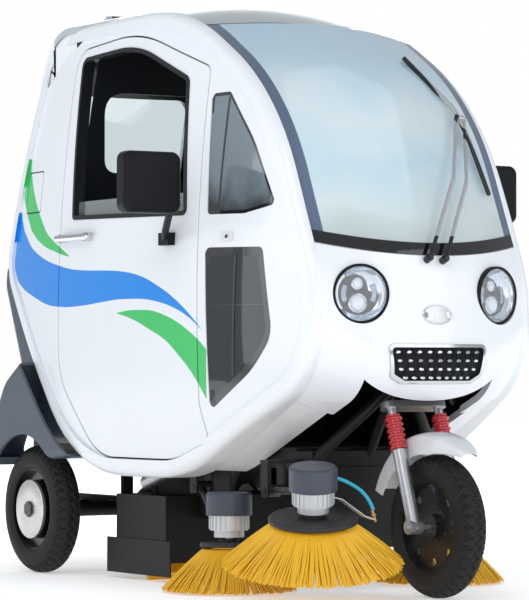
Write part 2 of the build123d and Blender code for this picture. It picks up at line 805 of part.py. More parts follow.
def rear_axle():
    reach = REAR_TRACK / 2 - 60
    beam = across(-reach, reach, WHEELBASE, TYRE_RADIUS, REAR_AXLE_RADIUS)
    beam += Pos(0, WHEELBASE, TYRE_RADIUS) * Sphere(DIFFERENTIAL_RADIUS)
    beam += rod((0, WHEELBASE, TYRE_RADIUS), (0, WHEELBASE - 210, TYRE_RADIUS + 20), 62)
    for side in (-1, 1):
        beam += across(side * (reach - 16), side * reach, WHEELBASE, TYRE_RADIUS, 78)
        beam += across(side * reach, side * (REAR_TRACK / 2 + 14), WHEELBASE, TYRE_RADIUS, REAR_STUB_RADIUS)
    return beam


def leaf_springs():
    springs = []
    for side in (-1, 1):
        x = side * (RAIL_X + 55)
        leaves = None
        for i in range(3):
            half = 330 - 90 * i
            z = TYRE_RADIUS + REAR_AXLE_RADIUS + MAT - 7 * i + 14
            leaf = block((x - 22, WHEELBASE - half, z), (x + 22, WHEELBASE + half, z + 7))
            leaves = leaf if leaves is None else leaves + leaf
        for end in (-1, 1):
            y = WHEELBASE + end * 322
            leaves += block((x - 22, y - 8, z + 14), (x + 22, y + 8, RAIL_BASE + 20))
            low, high = sorted((side * (RAIL_X + RAIL_WIDE / 2 + MAT), x))
            leaves += block((low, y - 8, RAIL_BASE + 4), (high, y + 8, RAIL_BASE + 20))
        springs.append(leaves.solids()[0])
    return Compound(children=springs)


def fender():
    # flared cover over a rear wheel, hollow underneath
    body = prism(FENDER_CORNERS, FENDER_IN, FENDER_OUT).solids()[0]
    body = body.fillet(FENDER_ROUND, body.faces().sort_by(Axis.X)[-1].outer_wire().edges())
    inner = prism(FENDER_CORNERS, FENDER_IN - 5, FENDER_OUT - FENDER_WALL, FENDER_WALL)
    body -= inner & block((0, 0, 430), (FAR, 3000, 900))
    body -= across(FENDER_IN - 10, FENDER_OUT + 10, WHEELBASE, TYRE_RADIUS, ARCH_REAR_RADIUS)
    body -= prism(SIDE_CORNERS, 0, FAR, -4)
    return body.solids().sort_by(SortBy.VOLUME)[-1]


def rear_body():
    half = HALF_IN - 2
    shell = prism(REAR_BODY_CORNERS, -half, half)
    rear_edges = shell.edges().filter_by(lambda e: e.center().Y > 2150 and abs(e.center().X) > half - 1)
    shell = fillet(rear_edges, 45)
    inner = prism(REAR_BODY_CORNERS, -half + PANEL_WALL, half - PANEL_WALL, PANEL_WALL)
    return shell - inner - tail_lamp_blocks(MAT)


def tine_skirt(row):
    # flared tufts joined under the disc, each widening towards its tip
    tip_radius, height, disc_radius = row[5:8]
    root, count = disc_radius * TINE_ROOT_SHARE, TINE_COUNT
    slope = Vector(tip_radius - root, 0, 8 - height)
    start = Vector(root, 0, height - 8)
    wide_root = 2 * pi * root / count * 0.92
    wide_tip = 2 * pi * tip_radius / count * 0.8
    near = Plane(origin=start, x_dir=(0, 1, 0), z_dir=slope)
    far = Plane(origin=start + slope * 1.1, x_dir=(0, 1, 0), z_dir=slope)
    tuft = loft([near * Rectangle(wide_root, 16), far * Rectangle(wide_tip, 12)])
    tuft &= Cylinder(tip_radius, 200, align=(Align.CENTER, Align.CENTER, Align.MIN))
    ring = Pos(0, 0, height - 14) * (
        Cylinder(root + 14, 18, align=(Align.CENTER, Align.CENTER, Align.MIN))
        - Cylinder(root - 18, 18, align=(Align.CENTER, Align.CENTER, Align.MIN))
    )
    skirt = ring
    for i in range(count):
        skirt += Rot(0, 0, 360 * i / count) * tuft
    return skirt


def brush_disc(row):
    # the carrier plate with its hub, on top of the tufts
    base = row[6] + 4
    disc = Pos(0, 0, base) * Cylinder(row[7], DISC_THICKNESS, align=(Align.CENTER, Align.CENTER, Align.MIN))
    disc = disc.solids()[0].chamfer(5, 5, disc.faces().sort_by(Axis.Z)[-1].edges())
    hub = Pos(0, 0, base) * Cylinder(34, DISC_THICKNESS + 10, align=(Align.CENTER, Align.CENTER, Align.MIN))
    bore = Cylinder(BRUSH_SHAFT_RADIUS + MAT, 3 * row[6])
    return disc + hub - bore


def brush_motor(row):
    # gearbox foot, ribbed middle ring and the round cap
    up = (Align.CENTER, Align.CENTER, Align.MIN)
    base = row[6] + MOTOR_ABOVE_TINES
    motor = Pos(0, 0, base) * Cylinder(52, 30, align=up)
    motor += Pos(0, 0, row[6] + 8) * Cylinder(BRUSH_SHAFT_RADIUS, base - row[6], align=up)
    motor += Pos(0, 0, base + 24) * Cylinder(66, MOTOR_BODY, align=up)
    for i in range(24):
        rib = Pos(67, 0, base + 28) * Box(6, 5, MOTOR_BODY - 8, align=up)
        motor += Rot(0, 0, 15 * i) * rib
    cap = Pos(0, 0, base + 24 + MOTOR_BODY - 4) * Cylinder(MOTOR_RADIUS, MOTOR_CAP + 10, align=up)
    cap = cap.solids()[0].fillet(12, cap.faces().sort_by(Axis.Z)[-1].edges())
    return motor + cap


def brush_place(row):
    # where a side brush stands: its lift, and the lean of its spin axis
    return Pos(row[1], row[2], row[3]) * Rot(0, 0, row[8]) * Rot(row[4], 0, 0)


def brush_pivot(row):
    # the point behind the motor where the lift arm is hinged to the frame
    side = -1 if row[1] < 0 else 1
    return (side * BRUSH_PIVOT_X, row[2] + row[9], BRUSH_PIVOT_HEIGHT)


def brush_arm(row):
    # motor with its clamp lug, and the arm back to the pivot eye
    place = brush_place(row)
    clamp = row[6] + MOTOR_ABOVE_TINES + 34
    motor = place * (brush_motor(row) + block((-18, 56, clamp), (18, 104, clamp + 30)))
    knuckle = (place * Pos(0, 96, clamp + 15)).position
    px, py, pz = brush_pivot(row)
    arm = rod(knuckle, (px, py, pz), 13)
    eye = across(px - BRUSH_EYE_HALF, px + BRUSH_EYE_HALF, py, pz, BRUSH_EYE_RADIUS)
    whole = motor + (Pos(*knuckle) * Sphere(15) + arm + eye)
    return whole - across(px - 60, px + 60, py, pz, BRUSH_PIN_RADIUS + MAT)


def brush_brackets():
    # forks on the frame rails that carry the pins of the three brush arms
    result = []
    for row in SIDE_BRUSHES:
        px, py, pz = brush_pivot(row)
        side = -1 if px < 0 else 1
        bracket = across(px - BRUSH_EYE_HALF - 12, px + BRUSH_EYE_HALF + 12, py, pz, BRUSH_PIN_RADIUS)
        for end in (-1, 1):
            x_at = px + end * (BRUSH_EYE_HALF + 6)
            bracket += block((x_at - 4, py - 22, pz - 22), (x_at + 4, py + 22, RAIL_BASE + 30))
        low, high = sorted((side * (RAIL_X + RAIL_WIDE / 2 + MAT), px + side * (BRUSH_EYE_HALF + 10)))
        bracket += block((low, py - 26, RAIL_BASE + 22), (high, py + 26, RAIL_BASE + 32))
        result.append(bracket.solids()[0])
    return Compound(children=result)


def main_roller():
    # core tube with rows of tufts, and a stub shaft at each end
    half = ROLLER_LENGTH / 2
    roller = across(-half, half, ROLLER_STATION, ROLLER_HEIGHT, ROLLER_CORE)
    roller += across(-HOUSING_HALF, HOUSING_HALF, ROLLER_STATION, ROLLER_HEIGHT, ROLLER_SHAFT)
    for i in range(ROLLER_ROWS):
        row = block((-half, -9, ROLLER_CORE - 6), (half, 9, ROLLER_RADIUS))
        roller += Pos(0, ROLLER_STATION, ROLLER_HEIGHT) * Rot(360 * i / ROLLER_ROWS, 0, 0) * row
    return roller & across(-half - 30, half + 30, ROLLER_STATION, ROLLER_HEIGHT, ROLLER_RADIUS)


def roller_housing():
    # an open bottomed hood over the main roller, hung from the frame
    low = 70
    hood = block((-HOUSING_HALF, HOUSING_FRONT, low), (HOUSING_HALF, HOUSING_REAR, HOUSING_TOP))
    hood -= block(
        (-HOUSING_HALF + HOUSING_WALL, HOUSING_FRONT + HOUSING_WALL, low - 1),
        (HOUSING_HALF - HOUSING_WALL, HOUSING_REAR - HOUSING_WALL, HOUSING_TOP - HOUSING_WALL),
    )
    for side in (-1, 1):
        inner, outer = side * (HOUSING_HALF - 20), side * (HOUSING_HALF + 2)
        hood -= across(inner, outer, ROLLER_STATION, ROLLER_HEIGHT, ROLLER_SHAFT + MAT)
        for station in (HOUSING_FRONT + 40, HOUSING_REAR - 40):
            x = side * RAIL_X
            hood += block((x - 16, station - 12, HOUSING_TOP - 1), (x + 16, station + 12, RAIL_BASE))
    return hood


def rubber_skirts():
    # side and rear rubber strips that close the hood towards the ground
    strips = []
    z_low, z_high = 22, 150
    for side in (-1, 1):
        x = side * (HOUSING_HALF + MAT)
        low, high = sorted((x, x + side * FLAP_RUBBER))
        strips.append(block((low, HOUSING_FRONT - 40, z_low), (high, HOUSING_REAR + 60, z_high)))
    y = HOUSING_REAR + MAT
    strips.append(block((-HOUSING_HALF + 4, y, z_low), (HOUSING_HALF - 4, y + FLAP_RUBBER, z_high)))
    return Compound(children=[strip.solids()[0] for strip in strips])


def suction_tube():
    # slotted bright tube beside the hood, open at its lower end
    tube = rod(TUBE_LOW, TUBE_HIGH, TUBE_RADIUS) - rod(TUBE_LOW, TUBE_HIGH, TUBE_RADIUS - 4)
    middle = [(TUBE_LOW[i] + TUBE_HIGH[i]) / 2 for i in range(3)]
    lug = block(
        (TUBE_LOW[0] + 10, middle[1] - 12, middle[2] - 8),
        (-RAIL_X - RAIL_WIDE / 2 - MAT, middle[1] + 12, middle[2] + 50),
    )
    return (tube + lug) - rod(TUBE_LOW, TUBE_HIGH, TUBE_RADIUS - 4)


def floor_pan():
    low = RAIL_BASE + RAIL_TALL
    pan = block((-FAR, CAB_FRONT, low), (FAR, CAB_REAR, low + FLOOR_THICKNESS))
    sides = pan & prism(SIDE_CORNERS, -FAR, FAR, SHELL_WALL + 8 + MAT)
    sides = sides & side_ball(1, INNER_CLEAR) & side_ball(-1, INNER_CLEAR)
    inner = pan & block((-FLOOR_HALF, CAB_FRONT, low), (FLOOR_HALF, CAB_REAR - 14 - MAT, low + 60))
    return sides + inner


def rear_bulkhead():
    # the wall behind the driver
    low = RAIL_BASE + RAIL_TALL + FLOOR_THICKNESS
    wall = block((-FAR, CAB_REAR - 14, low), (FAR, CAB_REAR, 2300))
    wall &= prism(SIDE_CORNERS, -FAR, FAR, SHELL_WALL + 8 + MAT)
    wall = wall & side_ball(1, INNER_CLEAR) & side_ball(-1, INNER_CLEAR)
    window = block((-220, CAB_REAR - 60, 1480), (220, CAB_REAR + 60, 1800))
    return wall - window


def battery_box():
    # the battery pack under the seat, one plain block
    low = RAIL_BASE + RAIL_TALL + FLOOR_THICKNESS
    return block((-260, SEAT_FRONT + 20, low), (260, SEAT_REAR + 40, SEAT_BASE))


def seat():
    cushion = block((-235, SEAT_FRONT, SEAT_BASE), (235, SEAT_REAR, SEAT_BASE + 110))
    cushion = cushion.solids()[0].fillet(32, cushion.faces().sort_by(Axis.Z)[-1].edges())
    back = block((-225, -60, 0), (225, 60, 560))
    back = back.solids()[0].fillet(40, back.edges())
    back = Pos(0, SEAT_REAR - 70, SEAT_BASE + 80) * Rot(-8, 0, 0) * back
    return cushion + back


def dashboard():
    # moulded dash, seated all along its front on the inside of the nose
    dash = prism(DASH_CORNERS, -HALF_IN + 8, HALF_IN - 8) & core(PANEL_WALL + MAT)
    dash -= rod(steering_point(380), steering_point(1400), HEAD_TUBE_RADIUS + 6)
    low, top = column_ends()
    return (dash - rod(low, top, COLUMN_RADIUS + MAT)).solids().sort_by(SortBy.VOLUME)[-1]


def steering_column():
    low, top = column_ends()
    return rod(low, top, COLUMN_RADIUS) - rod(low, top, COLUMN_BORE)


def column_ends():
    top = Vector(*STEERING_WHEEL_AT)
    tilt = radians(STEERING_WHEEL_TILT)
    direction = Vector(0, sin(tilt), cos(tilt))
    low = top - direction * (HUB_DROP + COLUMN_LENGTH)
    high = top - direction * HUB_DROP
    return (low.X, low.Y, low.Z), (high.X, high.Y, high.Z)


def steering_wheel():
    tilt = radians(STEERING_WHEEL_TILT)
    frame = Plane(origin=STEERING_WHEEL_AT, x_dir=(1, 0, 0), z_dir=(0, sin(tilt), cos(tilt)))
    wheel = Torus(STEERING_WHEEL_RADIUS - STEERING_WHEEL_GRIP, STEERING_WHEEL_GRIP)
    wheel += Pos(0, 0, -30) * Cylinder(42, 46)
    for angle in (0, 180, 270):
        spoke = Pos(STEERING_WHEEL_RADIUS / 2, 0, -8) * Box(STEERING_WHEEL_RADIUS - 20, 30, 9)
        wheel += Rot(0, 0, angle) * spoke
    wheel += Pos(0, 0, -180) * Cylinder(COLUMN_BORE - MAT, 300)
    return frame * wheel


def wiper():
    # two parallel arms from the cowl carry one long blade
    lean = radians(24)
    whole = rod(WIPER_TIPS[0], WIPER_TIPS[1], 8)
    for i in range(2):
        x, z = WIPER_PIVOTS[i]
        seat = (x, 29 - 1.5, z)
        cap = (x, seat[1] - 26 * cos(lean), z + 26 * sin(lean))
        whole += rod(seat, cap, 13)
        whole += Pos(*cap) * Sphere(11)
        whole += rod(cap, WIPER_KNEES[i], 7)
        whole += rod(WIPER_KNEES[i], WIPER_TIPS[i], 6)
    for i in range(3):
        whole += rod(WIPER_BLADE[i], WIPER_BLADE[i + 1], 8)
        whole += Pos(*WIPER_BLADE[i + 1]) * Sphere(8)
    return (whole - core(-MAT)).solids().sort_by(SortBy.VOLUME)[-1]


def tail_lamp_blocks(grow):
    half_x, half_z = TAIL_LAMP_SIZE[0] / 2 + grow, TAIL_LAMP_SIZE[1] / 2 + grow
    z = TAIL_LAMP_HEIGHT
    blocks = None
    for side in (-1, 1):
        x = side * TAIL_LAMP_X
        lamp = block((x - half_x, 2335 - grow, z - half_z), (x + half_x, 2386, z + half_z))
        blocks = lamp if blocks is None else blocks + lamp
    return blocks


def tail_lamps():
    return Compound(children=list(tail_lamp_blocks(0).solids()))


def rear_bumper():
    bar = block((-400, BUMPER_STATION - 60, 520), (400, BUMPER_STATION, 600))
    bar = bar.solids()[0].fillet(18, bar.edges().filter_by(Axis.X))
    half = RAIL_WIDE / 2 - RAIL_WALL - MAT
    low, high = RAIL_BASE + RAIL_WALL + MAT, RAIL_BASE + RAIL_TALL - RAIL_WALL - MAT
    for side in (-1, 1):
        x = side * RAIL_X
        bar += block((x - half, RAIL_REAR - 30, low), (x + half, BUMPER_STATION - 20, high))
        bar += block((x - half, BUMPER_STATION - 52, low), (x + half, BUMPER_STATION - 20, 560))
    return bar


# Export
rows = {row[0]: row for row in SIDE_BRUSHES}
frame_part, mesh_part = grille()
shell_left = side_shell(False)
shell_right = mirrored(side_shell(True))
door_parts = {
    "door": door_panel(),
    "door_rubber": door_rubber(),
    "door_glass": door_glass(),
    "door_handle": door_handle(),
    "mirror": mirror_arm(),
}
fender_left = fender()
seal_left = door_seal().solids()[0]

NODES = {
    "chassis_frame": chassis_frame() + brush_brackets(),
    "cab_floor": floor_pan() + rear_bulkhead(),
    "battery_box": battery_box(),
    "seat": seat(),
    "dashboard": dashboard() + steering_column(),
    "steering_wheel": steering_wheel(),
    "side_shell_left": shell_left,
    "side_shell_right": shell_right,
    "fixed_glass": Compound(children=list(quarter_glass().solids()) + list(headlamp_lenses().solids())),
    "roof_panel": roof_panel(),
    "windshield": windshield(),
    "nose_fascia": nose_fascia(),
    "nose_skirts": nose_skirts(),
    "grille_frame": frame_part,
    "grille_mesh": mesh_part,
    "headlamps": headlamps(),
    "wiper": wiper(),
    "rear_body": rear_body(),
    "rear_hatch": rear_hatch(),
    "rear_window": rear_window(),
    "tail_lamps": tail_lamps(),
    "rear_bumper": rear_bumper(),
    "rear_fenders": Compound(children=[fender_left, mirrored(fender_left).solids()[0]]),
    "door_seals": Compound(children=[seal_left, mirrored(seal_left).solids()[0]]),
    "charge_socket": charge_socket(),
    "charge_flap": charge_flap(),
    "fork": fork() + front_axle(),
    "fork_springs": fork_springs(),
    "front_mudguard": front_mudguard(),
    "front_tyre": tyre(FRONT_TYRE_WIDTH),
    "front_rim": rim(FRONT_TYRE_WIDTH, 0, 0, -1, 8, AXLE_RADIUS),
    "rear_axle": rear_axle(),
    "leaf_springs": leaf_springs(),
    "roller_housing": roller_housing(),
    "main_roller": main_roller(),
    "rubber_skirts": rubber_skirts(),
    "suction_tube": suction_tube(),
}
for side, word in ((1, "left"), (-1, "right")):
    for name, shape in door_parts.items():
        NODES[name + "_" + word] = shape if side > 0 else mirrored(shape)
    NODES["rear_tyre_" + word] = tyre(REAR_TYRE_WIDTH, side * REAR_TRACK / 2, WHEELBASE)
    wheel = rim(REAR_TYRE_WIDTH, side * REAR_TRACK / 2, WHEELBASE, side, 0, REAR_STUB_RADIUS)
    NODES["rear_rim_" + word] = wheel + hubcap(side)
for name, row in rows.items():
    NODES["brush_arm_" + name] = brush_arm(row)
    NODES["brush_disc_" + name] = brush_place(row) * brush_disc(row)
    NODES["brush_tines_" + name] = brush_place(row) * tine_skirt(row)

FRONT_END = -TYRE_RADIUS
MIDDLE = (FRONT_END + BUMPER_STATION) / 2

if __name__ == "__main__":
    os.makedirs("parts", exist_ok=True)
    for name, shape in NODES.items():
        export_step(Pos(0, -MIDDLE, 0) * shape, "parts/" + name + ".step")
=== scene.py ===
import math
import random

import bpy
from mathutils import Matrix, Vector
from mathutils.bvhtree import BVHTree


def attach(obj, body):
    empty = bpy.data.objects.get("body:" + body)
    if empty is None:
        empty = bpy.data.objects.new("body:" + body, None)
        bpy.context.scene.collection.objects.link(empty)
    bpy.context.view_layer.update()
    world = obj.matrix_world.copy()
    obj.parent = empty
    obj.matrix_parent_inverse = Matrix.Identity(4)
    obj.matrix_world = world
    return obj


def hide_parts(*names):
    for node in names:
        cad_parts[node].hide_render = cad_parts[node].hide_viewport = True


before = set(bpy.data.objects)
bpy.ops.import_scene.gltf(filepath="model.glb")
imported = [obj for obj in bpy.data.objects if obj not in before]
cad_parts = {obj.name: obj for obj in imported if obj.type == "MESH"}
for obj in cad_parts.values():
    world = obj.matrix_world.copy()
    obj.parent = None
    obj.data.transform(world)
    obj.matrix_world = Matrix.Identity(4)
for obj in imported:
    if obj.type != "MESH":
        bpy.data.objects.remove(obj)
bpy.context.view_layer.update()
SHIFT = 1.090  # the vehicle's middle lies this far behind the front axle


# ---------------------------------------------------------------- studio
# A plain pale floor under a white surround, with broad soft lamps and one camera
# that stands low in front of the vehicle's right front corner.
scene = bpy.context.scene
scene.view_settings.view_transform = "Standard"

CAMERA_AT = Vector((-6.0968, -9.805, 0.7636))
CAMERA_AZIMUTH = math.radians(31.849)
CAMERA_RISE = math.radians(1.265)
LENS, SENSOR_WIDE = 190.09, 36
LAMPS_AIM = Vector((0, 0, 1))
camera_data = bpy.data.cameras.new("camera")
camera_data.lens = LENS
camera_data.sensor_width = SENSOR_WIDE
camera_data.clip_end = 100
camera = bpy.data.objects.new("camera", camera_data)
scene.collection.objects.link(camera)
looking = Vector((
    math.sin(CAMERA_AZIMUTH) * math.cos(CAMERA_RISE),
    math.cos(CAMERA_AZIMUTH) * math.cos(CAMERA_RISE),
    math.sin(CAMERA_RISE),
))
camera.location = CAMERA_AT
camera.rotation_mode = "QUATERNION"
camera.rotation_quaternion = looking.to_track_quat("-Z", "Y")
scene.camera = camera


def area_lamp(name, place, size, power, tint=(1, 1, 1)):
    lamp = bpy.data.lights.new(name, "AREA")
    lamp.energy, lamp.size, lamp.color = power, size, tint
    holder = bpy.data.objects.new(name, lamp)
    holder.location = place
    holder.rotation_mode = "QUATERNION"
    holder.rotation_quaternion = (LAMPS_AIM - Vector(place)).to_track_quat("-Z", "Y")
    scene.collection.objects.link(holder)


area_lamp("key_lamp", (-5.0, -4.5, 5.5), 4.0, 128)
area_lamp("front_lamp", (2.5, -6.5, 3.5), 4.0, 62)
area_lamp("side_lamp", (-6.0, 2.5, 2.5), 3.5, 46, (0.95, 0.97, 1.0))
area_lamp("low_lamp", (-2.2, -6.5, 0.45), 2.4, 44)
area_lamp("back_lamp", (3.5, 6.0, 4.5), 4.0, 130)

def number(nodes, links, kind, a, b):
    # a math node whose two sides are sockets or plain numbers
    node = nodes.new("ShaderNodeMath")
    node.operation = kind
    for i, side in enumerate((a, b)):
        if isinstance(side, (int, float)):
            node.inputs[i].default_value = side
        else:
            links.new(side, node.inputs[i])
    return node.outputs[0]


SURROUND_TINT, SURROUND_STRENGTH = (0.93, 0.96, 1.0, 1), 0.52
world = bpy.data.worlds.new("surround")
scene.world = world
world.use_nodes = True
nodes, links = world.node_tree.nodes, world.node_tree.links
nodes.clear()
out = nodes.new("ShaderNodeOutputWorld")
white, soft = nodes.new("ShaderNodeBackground"), nodes.new("ShaderNodeBackground")
white.inputs["Color"].default_value = (1, 1, 1, 1)
soft.inputs["Color"].default_value = SURROUND_TINT
soft.inputs["Strength"].default_value = SURROUND_STRENGTH
chooser = nodes.new("ShaderNodeMixShader")
path = nodes.new("ShaderNodeLightPath")
seen = number(nodes, links, "MAXIMUM", path.outputs["Is Camera Ray"], path.outputs["Is Transmission Ray"])
links.new(seen, chooser.inputs["Fac"])
links.new(soft.outputs[0], chooser.inputs[1])
links.new(white.outputs[0], chooser.inputs[2])
links.new(chooser.outputs[0], out.inputs["Surface"])


def mesh_object(name, vertices, faces, smooth=False):
    mesh = bpy.data.meshes.new(name)
    mesh.from_pydata(vertices, [], faces)
    mesh.update()
    for face in mesh.polygons:
        face.use_smooth = smooth
    piece = bpy.data.objects.new(name, mesh)
    scene.collection.objects.link(piece)
    return piece


def vector_math(nodes, links, kind, a, b, result="Vector"):
    node = nodes.new("ShaderNodeVectorMath")
    node.operation = kind
    links.new(a, node.inputs[0])
    if isinstance(b, tuple):
        node.inputs[1].default_value = b
    elif b is not None:
        links.new(b, node.inputs[1])
    return node.outputs[result]


def remap(nodes, links, value, low, high, to_low=0.0, to_high=1.0):
    node = nodes.new("ShaderNodeMapRange")
    node.inputs["From Min"].default_value = low
    node.inputs["From Max"].default_value = high
    node.inputs["To Min"].default_value = to_low
    node.inputs["To Max"].default_value = to_high
    links.new(value, node.inputs["Value"])
    return node.outputs["Result"]


# The floor glows as painted light: weakly near the vehicle, where its glow also lights the underside of the
# nose, and fully white further out, where it meets the white surround.
FLOOR_REACH, FLOOR_COLOUR = 30, (0.93, 0.93, 0.93, 1)
FLOOR_GLOW = ((1.4, 0.38), (5.0, 1.0))  # distance from the middle and the strength of white there
floor = mesh_object(
    "floor",
    [(-FLOOR_REACH, -FLOOR_REACH, 0), (FLOOR_REACH, -FLOOR_REACH, 0),
     (FLOOR_REACH, FLOOR_REACH, 0), (-FLOOR_REACH, FLOOR_REACH, 0)],
    [(0, 1, 2, 3)],
)
floor_paint = bpy.data.materials.new("floor_paint")
floor_paint.use_nodes = True
floor_shader = floor_paint.node_tree.nodes["Principled BSDF"]
floor_shader.inputs["Base Color"].default_value = FLOOR_COLOUR
floor_shader.inputs["Roughness"].default_value = 0.9
floor_shader.inputs["Emission Color"].default_value = (1, 1, 1, 1)
nodes, links = floor_paint.node_tree.nodes, floor_paint.node_tree.links
reach = vector_math(nodes, links, "LENGTH", nodes.new("ShaderNodeTexCoord").outputs["Object"], None, "Value")
glow = remap(nodes, links, reach, FLOOR_GLOW[0][0], FLOOR_GLOW[1][0], FLOOR_GLOW[0][1], FLOOR_GLOW[1][1])
links.new(glow, floor_shader.inputs["Emission Strength"])
floor.data.materials.append(floor_paint)


# ---------------------------------------------------------------- painted shells
# The cab is moulded in glossy white plastic, a little cool in tone, with its inside
# lined in black. Blue and green swooshes run along both sides over shell and door.
def placed(nodes, links):
    # the point on the surface in the vehicle's frame, whole and as x, y and z
    place = nodes.new("ShaderNodeTexCoord").outputs["Object"]
    split = nodes.new("ShaderNodeSeparateXYZ")
    links.new(place, split.inputs[0])
    return place, split.outputs["X"], split.outputs["Y"], split.outputs["Z"]


def noise(nodes, links, place, scale, detail, rough=0.5):
    node = nodes.new("ShaderNodeTexNoise")
    node.inputs["Detail"].default_value = detail
    node.inputs["Roughness"].default_value = rough
    if isinstance(scale, (int, float)):
        node.inputs["Scale"].default_value = scale
    else:
        links.new(scale, node.inputs["Scale"])
    links.new(place, node.inputs["Vector"])
    return node.outputs["Fac"]


def surface_life():
    # slow shading, fine grain and the dust that gathers low down, as masks
    group = bpy.data.node_groups.new("surface_life", "ShaderNodeTree")
    group.interface.new_socket("Grain Scale", in_out="INPUT", socket_type="NodeSocketFloat")
    for name in ("Cloud", "Grain", "Dust"):
        group.interface.new_socket(name, in_out="OUTPUT", socket_type="NodeSocketFloat")
    nodes, links = group.nodes, group.links
    start, end = nodes.new("NodeGroupInput"), nodes.new("NodeGroupOutput")
    place, x, y, z = placed(nodes, links)
    low_down = remap(nodes, links, z, *DUST_LINE)
    spots = noise(nodes, links, place, SPOT_SCALE, 4)
    links.new(noise(nodes, links, place, CLOUD_SCALE, 3), end.inputs["Cloud"])
    links.new(noise(nodes, links, place, start.outputs["Grain Scale"], 2), end.inputs["Grain"])
    links.new(number(nodes, links, "MULTIPLY", low_down, spots), end.inputs["Dust"])
    return group


DUST_LINE = (0.75, 0.05)  # height where dust starts, and where it is full
SPOT_SCALE, CLOUD_SCALE = 22, 3.5
LIFE = surface_life()


def blend_colour(nodes, links, mask, first, second):
    # first colour where the mask is 0, second where it is 1
    node = nodes.new("ShaderNodeMix")
    node.data_type = "RGBA"
    links.new(mask, node.inputs["Factor"])
    for socket, colour in ((node.inputs["A"], first), (node.inputs["B"], second)):
        if isinstance(colour, tuple):
            socket.default_value = (*colour, 1)
        else:
            links.new(colour, socket)
    return node.outputs["Result"]


def finish_material(name, colour, rough, metal=0.0, coat=0.0, grain=400, bump=0.0002, mottle=0.1, dust=0.12,
                    dust_colour=(0.10, 0.09, 0.078), shine=0.5):
    # a material with slow colour drift, fine grain in the gloss and dust low down
    material = bpy.data.materials.new(name)
    material.use_nodes = True
    nodes, links = material.node_tree.nodes, material.node_tree.links
    shader = nodes["Principled BSDF"]
    shader.inputs["Metallic"].default_value = metal
    shader.inputs["Coat Weight"].default_value = coat
    shader.inputs["Coat Roughness"].default_value = 0.06
    shader.inputs["Specular IOR Level"].default_value = shine
    life = nodes.new("ShaderNodeGroup")
    life.node_tree = LIFE
    life.inputs["Grain Scale"].default_value = grain
    darker = tuple(c * (1 - mottle) for c in colour)
    lighter = tuple(min(c * (1 + mottle), 1) for c in colour)
    tone = blend_colour(nodes, links, life.outputs["Cloud"], darker, lighter)
    amount = number(nodes, links, "MULTIPLY", life.outputs["Dust"], dust)
    tone = blend_colour(nodes, links, amount, tone, dust_colour)
    links.new(tone, shader.inputs["Base Color"])
    smooth, dull = max(rough - 0.05, 0.02), min(rough + 0.08, 1)
    gloss = remap(nodes, links, life.outputs["Grain"], 0.3, 0.7, smooth, dull)
    links.new(number(nodes, links, "ADD", gloss, amount), shader.inputs["Roughness"])
    relief = nodes.new("ShaderNodeBump")
    relief.inputs["Strength"].default_value = 0.5
    relief.inputs["Distance"].default_value = bump
    links.new(life.outputs["Grain"], relief.inputs["Height"])
    links.new(relief.outputs["Normal"], shader.inputs["Normal"])
    return material


def dress(material, *names):
    # gives CAD nodes their finished material
    for name in names:
        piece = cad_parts[name]
        piece.data.materials.clear()
        piece.data.materials.append(material)


# each swoosh: colour, then rows of place along the vehicle, lower edge and upper edge
GREEN = (0.040, 0.52, 0.130)
BLUE = (0.0, 0.235, 0.76)
SWOOSHES = [
    (GREEN, [
        (0.543, 1.183, 1.189), (0.621, 1.196, 1.220), (0.680, 1.208, 1.243), (0.752, 1.223, 1.276),
        (0.827, 1.248, 1.337), (0.881, 1.273, 1.388), (0.922, 1.297, 1.436), (0.945, 1.321, 1.467),
        (0.969, 1.345, 1.508), (0.985, 1.368, 1.531), (0.992, 1.377, 1.575), (1.003, 1.386, 1.534),
        (1.015, 1.398, 1.488), (1.029, 1.420, 1.430),
    ]),
    (BLUE, [
        (-0.413, 0.904, 0.906), (-0.332, 0.949, 0.964), (-0.238, 0.983, 1.018), (-0.140, 1.004, 1.060),
        (-0.027, 1.016, 1.096), (0.103, 1.017, 1.116), (0.254, 1.009, 1.124), (0.388, 1.000, 1.128),
        (0.531, 0.996, 1.138), (0.615, 0.999, 1.151), (0.686, 1.004, 1.163), (0.750, 1.014, 1.177),
        (0.816, 1.030, 1.196), (0.901, 1.052, 1.228), (0.959, 1.069, 1.268), (1.000, 1.087, 1.301),
        (1.018, 1.094, 1.326), (1.039, 1.108, 1.349), (1.045, 1.113, 1.378), (1.052, 1.118, 1.349),
        (1.066, 1.135, 1.303), (1.076, 1.146, 1.257), (1.087, 1.172, 1.211), (1.0885, 1.188, 1.190),
    ]),
    (GREEN, [
        (-0.4446, 0.661, 0.834), (-0.406, 0.706, 0.862), (-0.346, 0.765, 0.896), (-0.273, 0.819, 0.929),
        (-0.197, 0.867, 0.954), (-0.088, 0.908, 0.975), (0.028, 0.945, 0.977), (0.137, 0.967, 0.969),
    ]),
]
CURVE_Y = (-0.6, 1.5)
CURVE_Z = (0.5, 1.8)
SOFT_EDGE = 0.0006


def edge_curve(nodes, links, y, rows, column):
    # height of one edge of a swoosh at each place along the vehicle
    node = nodes.new("ShaderNodeFloatCurve")
    curve = node.mapping.curves[0]
    points = [((row[0] - CURVE_Y[0]) / (CURVE_Y[1] - CURVE_Y[0]),
               (row[column] - CURVE_Z[0]) / (CURVE_Z[1] - CURVE_Z[0])) for row in rows]
    curve.points[0].location = points[0]
    curve.points[1].location = points[-1]
    for point in points[1:-1]:
        curve.points.new(*point)
    for point in curve.points:
        point.handle_type = "AUTO_CLAMPED"
    node.mapping.update()
    links.new(remap(nodes, links, y, *CURVE_Y), node.inputs["Value"])
    return remap(nodes, links, node.outputs["Value"], 0, 1, *CURVE_Z)


